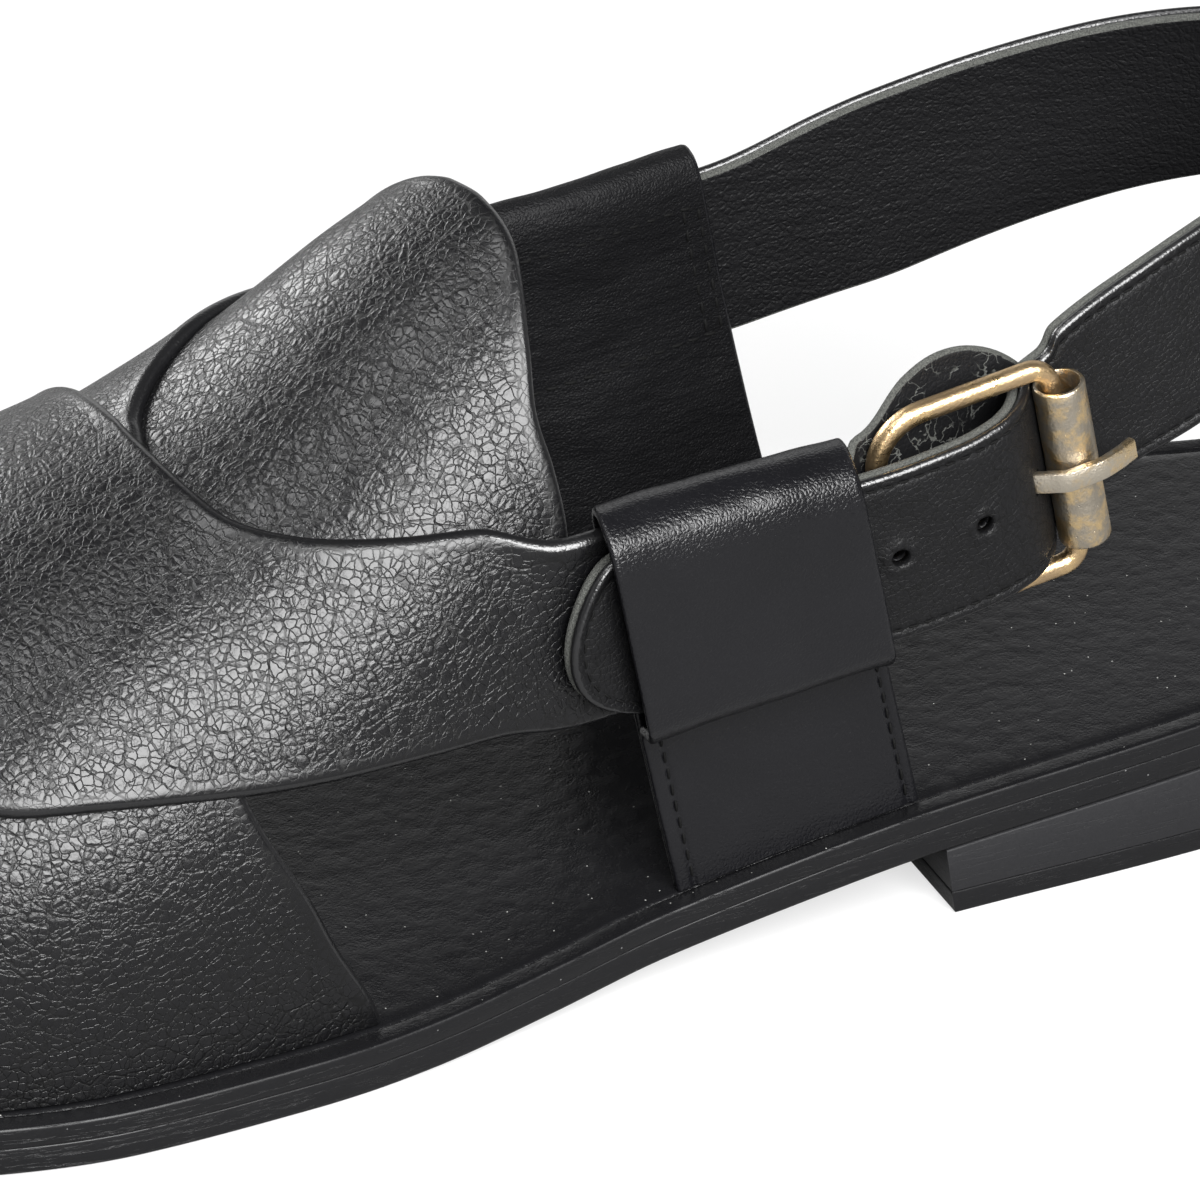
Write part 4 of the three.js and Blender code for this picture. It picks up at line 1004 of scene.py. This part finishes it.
roller_brass = brass_look("buckle_roller_plate", (0.72, 0.53, 0.28), (0.36, 0.32, 0.26), 0.42, 0.26)
prong_brass = brass_look("buckle_prong_plate", (0.68, 0.52, 0.3), (0.5, 0.45, 0.37), 0.45, 0.22)
thread, thread_tree, thread_shader = new_material("black_thread", (0.002, 0.002, 0.002), 0.75,
                                                  specular=0.12)
twist = noise_node(thread_tree, millimetres(thread_tree), 6.0)
bump(thread_tree, thread_shader, twist, 0.1 * METRE)


# ---- The sole ----

def lifted(height_of, rise):
    return lambda x: height_of(x) + rise


def level(height):
    return lambda x: np.full(x.shape, height)


def lifted_rings(height_of, rows):
    """Rings at an inset and a rise above a height."""
    return [(inset, lifted(height_of, rise)) for inset, rise in rows]


outsole_top = OUTSOLE + GAP / 2
outsole_rings = lifted_rings(sole_bottom, [
    (4.5, 0.35), (4.1, 0.35), (3.9, 0.02), (0.9, 0.0), (0.45, 0.08), (0.12, 0.3), (0.0, 0.7),
    (0.0, outsole_top - 0.2), (0.07, outsole_top - 0.06), (0.22, outsole_top), (3.0, outsole_top),
])
settle(outline_piece("outsole_layer", outsole_rings, [sole_edge, sole_under], [1] * 4 + [0] * 7),
       "sole_rubber", "outsole")

midsole_low = SOLE - MIDSOLE - GAP / 2
midsole_rings = lifted_rings(sole_bottom, [
    (3.0, midsole_low), (0.22, midsole_low), (0.07, midsole_low + 0.06), (0.0, midsole_low + 0.2),
])
midsole_rings += lifted_rings(sole_top, [
    (0.0, -0.55), (0.06, -0.28), (0.22, -0.1), (0.5, -0.01), (0.9, 0.0), (2.6, -0.06), (2.95, -0.12),
    (3.2, -0.36), (3.45, -0.12), (3.8, -0.03), (5.4, 0.0), (9.0, 0.0),
])
settle(outline_piece("welt_layer", midsole_rings, [sole_edge, welt_leather], [0] * 6 + [1] * 10),
       "sole_leather", "midsole")

low_slant = BREAST_SLANT * LIFT / HEEL_HEIGHT
block_levels = [
    (level(LIFT + 0.06), low_slant, 1.5), (level(LIFT + 0.06), low_slant, 0.2),
    (level(LIFT + 0.12), low_slant, 0.06), (level(LIFT + 0.26), low_slant, 0.0),
    (lambda x: mix(LIFT, heel_seat(x), 0.5), mix(low_slant, BREAST_SLANT, 0.5), 0.0),
    (lifted(heel_seat, -0.26), BREAST_SLANT, 0.0), (lifted(heel_seat, -0.12), BREAST_SLANT, 0.06),
    (lifted(heel_seat, -0.02), BREAST_SLANT, 0.2), (lifted(heel_seat, -0.02), BREAST_SLANT, 1.5),
]
settle(heel_piece("heel_stack", block_levels, heel_edge), "sole_leather", "heel_block")
lift_levels = [
    (level(0.0), 0.0, 1.5), (level(0.0), 0.0, 0.4), (level(0.12), 0.0, 0.12), (level(0.4), 0.0, 0.0),
    (level(LIFT - 0.22), low_slant, 0.0), (level(LIFT - 0.08), low_slant, 0.06),
    (level(LIFT), low_slant, 0.2), (level(LIFT), low_slant, 1.5),
]
settle(heel_piece("heel_top_piece", lift_levels, sole_edge), "sole_rubber", "heel_lift")

# Sock: a sheet on the welt layer with a rolled edge
sock_inset = WELT + 2 * GAP
sock_turns = np.linspace(0, 1, 241)[1:-1]
sock_roll = curve_through([0, 0.4, 1.0, 2.0, 3.2, 4.6, 7.0, 10.0, 14.0, 20.0],
                          [-0.75, -0.1, 0.45, 0.9, 1.1, 1.05, 0.75, 0.4, 0.12, 0.0])
sock_edge = np.concatenate([outline_point(np.linspace(0, 1, 240), 1, sock_inset),
                            outline_point(np.linspace(1, 0, 240), -1, sock_inset)])


def sock_place(t, s, off):
    t, s, off = np.broadcast_arrays(t, s, off)
    inner = outline_point(t, -1, sock_inset)
    outer = outline_point(t, 1, sock_inset)
    place = mix(inner, outer, s[..., None])
    return np.concatenate([place, (sole_top(place[..., 0]) + GAP + off)[..., None]], -1)


def sock_depth(t, s, straight):
    place = sock_place(t, s, np.zeros(t.shape))[..., :2]
    nearest = np.full(t.shape, 99.0)
    for first, last in zip(sock_edge[:-1], sock_edge[1:]):
        run = last - first
        share = np.clip(((place - first) @ run) / (run @ run), 0, 1)
        away = np.linalg.norm(place - first - share[..., None] * run, axis=-1)
        nearest = np.minimum(nearest, away)
    return np.where(straight <= 1e-9, 0, nearest)


def sock_relief(t, s, depth):
    place = sock_place(t, s, np.zeros(t.shape))
    x, y = place[..., 0], place[..., 1]
    swell = 0.07 * waves(x * 0.2, y, 7, 5) * smooth(depth, 3, 10)
    return sock_roll(depth) + swell


settle(sheet_piece("sock", sock_place, sock_turns, INSOLE, [sock_leather, sock_leather, sock_leather],
                   steps=np.linspace(0.4, 8, 16), columns=30, relief=sock_relief, depth_of=sock_depth),
       "lining_leather", "insole")


# ---- The upper ----

BEDDED = 2 * GAP
ON_TONGUE = TONGUE_LEATHER - BEDDED
OVER_UNDER = UNDER_LEATHER - BEDDED


def under_lift(t, s):
    return ON_TONGUE * smooth(t, 0, 0.3)


def over_lift(t, s):
    settled = ON_TONGUE * smooth(t, 0, 0.15) * (1 - smooth(t, 0.7, 1) * (0.4 + 0.5 * s))
    return settled + OVER_UNDER * smooth(t, 0, 0.25) * (1 - smooth(t, 0.5, 0.75))


def folded_relief(t, s, depth):
    return 0.12 * ridge_line(depth - 1.6, 1.1)


strap_looks = [grain_leather, lining, folded_edge]
strap_steps = (0.35, 0.7, 1.1, 1.6, 2.2, 3.0, 4.0, 5.2)
tongue_place = strap_surface(TONGUE, lambda t, s: 0 * t)
under_place = strap_surface(UNDER_STRAP, under_lift, INNER_LOOP)
over_place = strap_surface(OVER_STRAP, over_lift, OUTER_LOOP)
for name, place, thickness, count in (("tongue", tongue_place, TONGUE_LEATHER, 131),
                                      ("under_strap", under_place, UNDER_LEATHER, 181),
                                      ("over_strap", over_place, OVER_LEATHER, 181)):
    strap = sheet_piece(name, place, np.linspace(0, 1, count), thickness, strap_looks,
                        steps=strap_steps, columns=40, relief=folded_relief)
    settle(strap, "grain_leather", "upper")


# ---- The loops ----

def loop_surface(loop, tunnel_depth):
    """Place on a folded loop: t millimetres along its outer face from its foot, s across, off outward."""
    depth = tunnel_depth + 2 * LOOP_LEATHER
    seam = loop["seam"]
    sewn = 2 * LOOP_LEATHER
    rows = [(sewn, -0.2), (sewn, seam / 2), (sewn, seam - 2), (sewn, seam - 0.4)]
    rows += [(out * depth, seam + up * TUNNEL_HEIGHT) for out, up in LOOP_FOLD]
    rows += [(0, seam + TUNNEL_HEIGHT / 2), (0, seam), (0, seam / 2), (0, -0.2)]
    rows = np.array(rows, float)
    knots = run_along(rows)
    out_at = curve_through(knots, rows[:, 0])
    up_at = curve_through(knots, rows[:, 1])

    def place(t, s, off):
        t, s, off = np.broadcast_arrays(t, s, off)
        ahead = np.minimum(t + 0.25, knots[-1])
        behind = np.maximum(t - 0.25, 0)
        run = unit(np.stack([out_at(ahead) - out_at(behind), up_at(ahead) - up_at(behind)], -1))
        back = LOOP_LEATHER - off
        n = out_at(t) - run[..., 1] * back
        h = up_at(t) + run[..., 0] * back
        return loop_point(loop, s, n, h)

    return place, knots


LEG_FRONT = 2.4
LEG_REAR = 1.6


def seam_groove(t, s, seam_t):
    """Sunk lines of the stitches that close an outer loop below its tunnel."""
    front = (1 - s) * LOOP_WIDTH - LEG_FRONT
    rear = s * LOOP_WIDTH - LEG_REAR
    below = smooth(t, seam_t + 0.6, seam_t - 0.4)
    legs = np.maximum(ridge_line(front, 0.42), ridge_line(rear, 0.42)) * below
    between = smooth(front, -0.4, 0.3) * smooth(rear, -0.4, 0.3)
    return -0.3 * np.maximum(legs, ridge_line(t - seam_t, 0.5) * between)


outer_place, outer_knots = loop_surface(OUTER_LOOP, OUTER_TUNNEL)
inner_place, inner_knots = loop_surface(INNER_LOOP, INNER_TUNNEL)
outer_seam_t = OUTER_LOOP["seam"] - 0.3
loop_steps = (0.25, 0.5, 0.7, 0.85, 1.0, 1.15, 1.35, 1.6, 1.85, 2.1, 2.4, 2.8)


def outer_relief(t, s, depth):
    return seam_groove(t, s, outer_seam_t) + 0.07 * waves(t, s * LOOP_WIDTH, 11, 3)


def inner_relief(t, s, depth):
    return 0.09 * waves(t, s * LOOP_WIDTH, 9, 4)


outer_rows = np.concatenate([np.arange(0, outer_seam_t - 2, 0.8),
                             np.arange(outer_seam_t - 2, outer_seam_t + 4, 0.2),
                             np.arange(outer_seam_t + 4, outer_knots[-1], 0.8), [outer_knots[-1]]])
inner_rows = np.linspace(0, inner_knots[-1], 170)
loop_looks = [loop_leather, loop_leather, loop_leather]
outer_loop = sheet_piece("outer_loop_band", outer_place, outer_rows, LOOP_LEATHER, loop_looks,
                         steps=loop_steps, columns=30, relief=outer_relief)
inner_loop = sheet_piece("inner_loop_band", inner_place, inner_rows, LOOP_LEATHER,
                         [loop_leather_in_shade, loop_leather_in_shade, loop_leather], steps=loop_steps, columns=30,
                         relief=inner_relief)
settle(outer_loop, "smooth_leather", "outer_loop")
settle(inner_loop, "smooth_leather", "inner_loop")

stitch = 2.35
front_s = 1 - LEG_FRONT / LOOP_WIDTH
rear_s = LEG_REAR / LOOP_WIDTH
sunk = LOOP_LEATHER - 0.18
loop_seams = [
    seam_on(outer_place, [outer_seam_t, outer_seam_t], [rear_s, front_s], sunk, stitch),
    seam_on(outer_place, [0.8, outer_seam_t], [front_s, front_s], sunk, stitch),
    seam_on(outer_place, [0.8, outer_seam_t], [rear_s, rear_s], sunk, stitch),
]
settle(thread_piece("outer_loop_stitches", loop_seams, thread), "smooth_leather")

upper_seam_t = inner_knots[16] - 0.28 * TUNNEL_HEIGHT
lower_seam_t = inner_knots[16] + 0.3 * TUNNEL_HEIGHT
on_face = LOOP_LEATHER + 0.02
inner_stitch = 2.6
seam_ts = [upper_seam_t, lower_seam_t]
inner_seams = [seam_on(inner_place, [t, t], [0.06, 0.9], on_face, inner_stitch) for t in seam_ts]
inner_seams += [seam_on(inner_place, seam_ts, [s, s], on_face, inner_stitch) for s in (0.045, 0.11)]
settle(thread_piece("inner_loop_stitches", inner_seams, thread, radius=0.24), "smooth_leather")


# ---- The heel strap ----

def strap_flare(t):
    left = heel_length - t
    widened = smooth(left, 2.6 * FLARE_LENGTH, 1.2 * FLARE_LENGTH)
    narrowed = smooth(left, 0.36 * FLARE_LENGTH, 0.8 * FLARE_LENGTH)
    return STRAP_FLARE * (widened * narrowed)


strap_place, strap_depth = ribbon_surface(heel_frame, STRAP_HALF, TIP_ROUND, strap_flare)


def strap_t_at(x):
    """Distance along the heel strap at which it comes back to x."""
    s = np.arange(0, heel_length, 0.1)
    return s[np.argmax(heel_frame(s)[0][:, 0] <= x)]


first_hole = strap_t_at(PIVOT[0]) - HOLE_OFFSET
hole_places = [first_hole, first_hole + HOLE_PITCH]
seam_inset = 1.6


def strap_relief(t, s, depth):
    w = (2 * s - 1) * STRAP_HALF
    raised = -0.2 * ridge_line(depth - seam_inset, 0.4)
    raised = raised + 0.07 * waves(t, w, 7, 8) * smooth(depth, 1, 3)
    for hole in hole_places:
        away = np.hypot(t - hole, w)
        crumple = 1 + 0.4 * np.sin(5 * np.arctan2(w, t - hole))
        raised = raised + 0.3 * ridge_line(away - 1.9, 0.55) * crumple
    return raised


tip_rows = np.array([0.004, 0.03, 0.1, 0.22, 0.4, 0.62, 0.9, 1.25, 1.7, 2.2, 2.8, 3.5, 4.3, 5.2, 6.2])
fine_from = hole_places[0] - 4
fine_to = heel_knots[14] + 3
strap_rows = np.concatenate([tip_rows, np.arange(7.2, fine_from, 1.0), np.arange(fine_from, fine_to, 0.45),
                             np.arange(fine_to, heel_length, 1.4), [heel_length]])
half_strap = STRAP / 2
seam_steps = (0.2, 0.4, 0.55, 0.7, 0.85, 1.0, 1.2, 1.5, 2.0, 2.7)
strap_face = sheet_piece("heel_strap_face", strap_place, strap_rows, half_strap,
                         [heel_leather, lining, folded_edge], steps=seam_steps, columns=34,
                         relief=strap_relief, depth_of=strap_depth)
strap_lining = sheet_piece("heel_strap_lining", strap_place, strap_rows, half_strap - 0.05,
                           [lining, lining, grey_edge], steps=seam_steps[::2], columns=20,
                           depth_of=strap_depth, lower=-half_strap)


def round_bar(points, first, second, radius, sides=24):
    turns = np.linspace(0, 2 * np.pi, sides, endpoint=False)
    ring = np.cos(turns)[:, None] * first + np.sin(turns)[:, None] * second
    return [point + ring * radius for point in points]


def prong_sections(width, thickness, bevel):
    """Sections of the prong from the pivot bar through the strap and over the roller."""
    crest = ROLLER + GAP + PRONG / 2
    rows = np.array([
        (0, PIN + GAP + PRONG / 2), (0.24 * REACH, 1.4), (0.5 * REACH, 1.0), (0.7 * REACH, 1.2),
        (REACH - ROLLER - 1.3, 0.66 * crest), (REACH - 0.55 * ROLLER, crest),
        (REACH + 0.45 * ROLLER, crest), (REACH + ROLLER + 1.6, crest - 0.9), (REACH + ROLLER + 4, crest - 2),
    ])
    knots = run_along(rows)
    curves = [curve_through(knots, column) for column in rows.T]
    at = np.linspace(0, knots[-1], 70)
    u, n = curves[0](at), curves[1](at)
    run = unit(np.stack([curve(at + 0.2) - curve(at - 0.2) for curve in curves], -1))
    half_w, half_t = width / 2, thickness / 2
    section = []
    for v, d in ((1, 1), (1, -1), (-1, -1), (-1, 1)):
        cuts = [(half_w - bevel, half_t), (half_w - 0.3 * bevel, half_t - 0.3 * bevel),
                (half_w, half_t - bevel)]
        ordered = cuts if v * d > 0 else cuts[::-1]
        section += [(v * a, d * b) for a, b in ordered]
    sections = []
    for k in range(len(at)):
        sections.append([buckle_point(u[k] - run[k, 1] * b, FRAME_RISE + a, n[k] + run[k, 0] * b)
                         for a, b in section])
    return sections


cutters = [tube_piece("slit", prong_sections(PRONG_WIDTH + 0.5, PRONG + 0.5, 0.1), [], False)]
for place_on_strap in hole_places:
    middle, row, out = heel_frame(np.array([place_on_strap]))
    along = np.cross(row, out)[0]
    ends = [middle[0] - out[0] * STRAP, middle[0] + out[0] * STRAP]
    cutters.append(tube_piece("punch", round_bar(ends, row[0], along, HOLE / 2), [], False))
for cutter in cutters:
    for piece in (strap_face, strap_lining):
        cut_with(piece, cutter)
    drop(cutter)
settle(strap_face, "grain_leather", "heel_strap")
settle(strap_lining, "lining_leather", "heel_strap")


def edge_run(start, end, side):
    """t and s along one edge of the heel strap, at the seam's inset."""
    t = np.linspace(start, end, 160)
    half = STRAP_HALF * round_tip(t, TIP_ROUND)
    share = 0.5 + side * (half - seam_inset) / (2 * half)
    return t, share


strap_seams = []
for side in (-1, 1):
    t, share = edge_run(TIP_ROUND, heel_length - 2, side)
    strap_seams.append(seam_on(strap_place, t, share, half_strap - 0.12, 2.1))
angles = np.linspace(-np.pi / 2, np.pi / 2, 60)
tip_radius = TIP_ROUND - seam_inset
tip_t = TIP_ROUND - tip_radius * np.cos(angles)
tip_half = STRAP_HALF * round_tip(tip_t, TIP_ROUND)
strap_seams.append(seam_on(strap_place, tip_t, 0.5 + tip_radius * np.sin(angles) / (2 * tip_half),
                           half_strap - 0.12, 2.1))
settle(thread_piece("heel_strap_stitches", strap_seams, thread, radius=0.17), "grain_leather")


# ---- The buckle ----

def corner_points(u, v, radius, start, steps=12):
    angles = np.radians(start + 90 * np.linspace(0, 1, steps + 1))
    return [(u + radius * math.cos(a), v + radius * math.sin(a), a) for a in angles]


def straight_points(first, last, count):
    """Places between two corners of the wire, keeping the direction of the first."""
    return [(mix(first[0], last[0], k / count), mix(first[1], last[1], k / count), first[2])
            for k in range(1, count)]


low, high = FRAME_RISE - FRAME_HALF, FRAME_RISE + FRAME_HALF
wire_corners = [
    corner_points(FAR_BAR - FAR_CORNER, high - FAR_CORNER, FAR_CORNER, 0),
    corner_points(NEAR_CORNER, high - NEAR_CORNER, NEAR_CORNER, 90),
    corner_points(NEAR_CORNER, low + NEAR_CORNER, NEAR_CORNER, 180),
    corner_points(FAR_BAR - FAR_CORNER, low + FAR_CORNER, FAR_CORNER, 270),
]
wire_path = []
for i, corner in enumerate(wire_corners):
    wire_path += corner + straight_points(corner[-1], wire_corners[(i + 1) % 4][0], 12)
wire_sections = []
for u, v, angle in wire_path:
    turns = np.linspace(0, 2 * np.pi, 24, endpoint=False) + 0.3
    flat = (np.abs(np.cos(turns)) ** 2.6 + np.abs(np.sin(turns)) ** 2.6) ** (-1 / 2.6)
    reach = PIN * 0.98 * flat * np.cos(turns)
    wire_sections.append(buckle_point(u + reach * math.cos(angle), v + reach * math.sin(angle),
                                      PIN * 0.98 * flat * np.sin(turns)))
settle(tube_piece("buckle_wire", wire_sections, [wire_brass], True), "buckle_brass", "buckle_frame")

roller_half = FRAME_HALF - FAR_CORNER - GAP
roller_section = [(ROLLER - ROLLER_WALL, -roller_half + 0.15),
                  (ROLLER - ROLLER_WALL + 0.12, -roller_half), (ROLLER - 0.3, -roller_half),
                  (ROLLER - 0.1, -roller_half + 0.1), (ROLLER, -roller_half + 0.35)]
roller_section += [(ROLLER, v) for v in np.linspace(-roller_half + 1.5, roller_half - 1.5, 12)]
roller_section += [(radius, -v) for radius, v in roller_section[4::-1]]
roller_section += [(ROLLER - ROLLER_WALL, v) for v in np.linspace(roller_half - 1, -roller_half + 1, 8)]
roller_rings = []
for angle in np.linspace(0, 2 * np.pi, 64, endpoint=False):
    flat = 1 - 0.012 * (1 + math.cos(6 * angle + 0.8)) / 2
    radii = np.array([radius for radius, _ in roller_section]) * flat
    rise = FRAME_RISE + np.array([v for _, v in roller_section])
    roller_rings.append(buckle_point(REACH + radii * math.cos(angle), rise, radii * math.sin(angle)))
settle(tube_piece("buckle_roller_tube", roller_rings, [roller_brass], True, keen=50),
       "buckle_brass", "buckle_roller")


def round_band(low_v, high_v, inner_radius, outer_radius, bevel, sides=48):
    """Closed band round the pivot bar with bevelled edges."""
    section = [(outer_radius - bevel, low_v), (outer_radius, low_v + bevel), (outer_radius, high_v - bevel),
               (outer_radius - bevel, high_v), (inner_radius, high_v), (inner_radius, low_v)]
    radii = np.array([radius for radius, _ in section])
    rise = np.array([v for _, v in section])
    return [buckle_point(radii * math.cos(angle), rise, radii * math.sin(angle))
            for angle in np.linspace(0, 2 * np.pi, sides, endpoint=False)]


prong_half = PRONG_WIDTH / 2
prong_strip = prong_sections(PRONG_WIDTH, PRONG, 0.28)
prong_eye = round_band(FRAME_RISE - prong_half, FRAME_RISE + prong_half, PIN + GAP / 2,
                       PIN + GAP + PRONG, 0.2)
for name, sections, closed in (("buckle_prong_strip", prong_strip, False),
                               ("buckle_prong_eye", prong_eye, True)):
    settle(tube_piece(name, sections, [prong_brass], closed, keen=40), "buckle_brass", "buckle_prong")

# Flap behind the buckle and its wraps round the pivot bar
flap_stations = [
    buckle_station(REACH, FLAP_CLIMB, -FLAP_UNDER_ROLLER, 14),
    buckle_station(0.75 * REACH, 0.82 * FLAP_CLIMB, -0.86 * FLAP_UNDER_ROLLER, 12),
    buckle_station(0.5 * REACH, 0.63 * FLAP_CLIMB, -0.68 * FLAP_UNDER_ROLLER, 9),
    buckle_station(0.25 * REACH, 0.43 * FLAP_CLIMB, -0.48 * FLAP_UNDER_ROLLER, 5),
    buckle_station(0, 0.24 * FLAP_CLIMB, -FLAP_UNDER_PIN, 0),
    buckle_station(-0.35 * PIVOT_REACH, 0.2 * FLAP_CLIMB, -0.95 * FLAP_UNDER_PIN, 0),
    tunnel_station(OUTER_LOOP, 0.02, FLAP_ON_LOOP),
    tunnel_station(OUTER_LOOP, 0.34, FLAP_ON_LOOP),
]
flap_length, _, flap_frame = ribbon_through(flap_stations)


def flap_narrowing(t):
    return -FLAP_TAPER * smooth(flap_length - t, 0.75 * LOOP_WIDTH, 0.45 * LOOP_WIDTH)


flap_place, flap_depth = ribbon_surface(flap_frame, FLAP_WIDTH / 2, FLAP_WIDTH / 2, flap_narrowing)
flap_rows = np.concatenate([tip_rows, np.arange(7.0, flap_length, 0.8), [flap_length]])


def flap_relief(t, s, depth):
    return 0.06 * waves(t, s * FLAP_WIDTH, 6, 11) - 0.1


flap = sheet_piece("buckle_flap_leather", flap_place, flap_rows, FLAP,
                   [flap_leather, flap_leather, grey_edge], steps=(0.3, 0.7, 1.2, 2.0), columns=26,
                   relief=flap_relief, depth_of=flap_depth, lower=-FLAP / 2)
slot_half = PRONG_WIDTH / 2 + 2 * GAP
slot_reach = PIN + PRONG + 3 * GAP
slot_outline = [(-slot_reach, -slot_half), (slot_reach, -slot_half), (slot_reach, slot_half),
                (-slot_reach, slot_half)]
slot_corners = [[buckle_point(u, FRAME_RISE + v, n) for u, v in slot_outline]
                for n in (0, -PIN - PRONG - FLAP - 4 * GAP)]
slot_cutter = tube_piece("slot", slot_corners, [], False)
cut_with(flap, slot_cutter)
drop(slot_cutter)
settle(flap, "smooth_leather", "buckle_flap")
for name, start in (("flap_wrap_high", FRAME_RISE + slot_half),
                    ("flap_wrap_low", FRAME_RISE - slot_half - WRAP_LENGTH)):
    wrap = round_band(start, start + WRAP_LENGTH, PIN + GAP / 2, PIN + GAP + WRAP_LEATHER, 0.25)
    settle(tube_piece(name, wrap, [loop_leather], True), "smooth_leather", "buckle_flap")


# ---- Floor, light and camera ----

def stage_floor():
    mesh = bpy.data.meshes.new("floor")
    reach = 4.0
    corners = [(-reach, -reach, 0), (reach, -reach, 0), (reach, reach, 0), (-reach, reach, 0)]
    mesh.from_pydata(corners, [], [(0, 1, 2, 3)])
    look, tree, shader = new_material("floor_white", (0.22, 0.22, 0.22), 0.9, specular=0.0)
    seen = node(tree, "LightPath").outputs["Is Camera Ray"]
    shader.inputs["Emission Color"].default_value = (1, 1, 1, 1)
    tree.links.new(math_node(tree, "MULTIPLY", seen, 0.6), shader.inputs["Emission Strength"])
    mesh.materials.append(look)
    floor = bpy.data.objects.new("floor", mesh)
    bpy.context.scene.collection.objects.link(floor)


def soft_light(name, place, aim, width, height, power):
    """Rectangular soft light at a place, turned to an aim, in metres."""
    light = bpy.data.lights.new(name, "AREA")
    light.shape = "RECTANGLE"
    light.size = width
    light.size_y = height
    light.energy = power
    lamp = bpy.data.objects.new(name, light)
    lamp.location = place
    lamp.rotation_mode = "QUATERNION"
    lamp.rotation_quaternion = (Vector(aim) - Vector(place)).to_track_quat("-Z", "Y")
    lamp.visible_camera = False
    bpy.context.scene.collection.objects.link(lamp)
    return lamp


def studio_world():
    """White to the camera; for light and reflections a white backdrop behind, under a dark ceiling."""
    world = bpy.data.worlds.new("studio")
    bpy.context.scene.world = world
    world.use_nodes = True
    tree = world.node_tree
    back = tree.nodes["Background"]
    way = node(tree, "SeparateXYZ", {"Vector": node(tree, "TexCoord").outputs["Generated"]})
    low = spread_node(tree, way.outputs["Z"], 0.35, 0.72, 1.0, 0.06)
    behind = spread_node(tree, way.outputs["Y"], -0.35, 0.25, 1.0, 0.12)
    lit = math_node(tree, "MULTIPLY_ADD", math_node(tree, "MULTIPLY", low, behind), BACKDROP, 0.02)
    seen = node(tree, "LightPath").outputs["Is Camera Ray"]
    back.inputs["Color"].default_value = (1, 1, 1, 1)
    white = math_node(tree, "MULTIPLY", seen, 1.2)
    tree.links.new(math_node(tree, "MAXIMUM", lit, white), back.inputs["Strength"])


def sky_place(turn, rise, away):
    """Place in metres at a turn and rise in degrees round the shoe."""
    a, e = math.radians(turn), math.radians(rise)
    return (away * math.sin(a) * math.cos(e), -away * math.cos(a) * math.cos(e), away * math.sin(e))


BACKDROP = 1.1
CAMERA_TURN = math.radians(156.315)
CAMERA_RISE = math.radians(29.821)
CAMERA_ROLL = math.radians(0.717)
CAMERA_TARGET = np.array([-0.026323, -0.005049, 0.030])
LENS_LENGTH = 236.25


def photo_camera():
    back = np.array([math.sin(CAMERA_TURN) * math.cos(CAMERA_RISE),
                     -math.cos(CAMERA_TURN) * math.cos(CAMERA_RISE), math.sin(CAMERA_RISE)])
    right = unit(np.cross(-back, [0, 0, 1.0]))
    up = np.cross(right, -back)
    turned = math.cos(CAMERA_ROLL) * right + math.sin(CAMERA_ROLL) * up
    raised = -math.sin(CAMERA_ROLL) * right + math.cos(CAMERA_ROLL) * up
    eye = CAMERA_TARGET + back
    lens = bpy.data.cameras.new("camera")
    lens.sensor_width = 36
    lens.lens = LENS_LENGTH
    lens.clip_start = 0.01
    camera = bpy.data.objects.new("camera", lens)
    rows = [[turned[k], raised[k], back[k], eye[k]] for k in range(3)]
    camera.matrix_world = Matrix(rows + [[0, 0, 0, 1]])
    bpy.context.scene.collection.objects.link(camera)
    bpy.context.scene.camera = camera


stage_floor()
studio_world()
soft_light("key", sky_place(178, 40, 1.3), (0, 0, 0.03), 0.9, 0.9, 66)
soft_light("upper_left", sky_place(92, 64, 1.3), (0.05, 0, 0.03), 0.5, 0.5, 8)
soft_light("behind", sky_place(22, 22, 1.3), (0.03, 0, 0.06), 0.5, 0.4, 9)
photo_camera()
bpy.context.scene.view_settings.view_transform = "Standard"
bpy.context.scene.view_settings.look = "None"
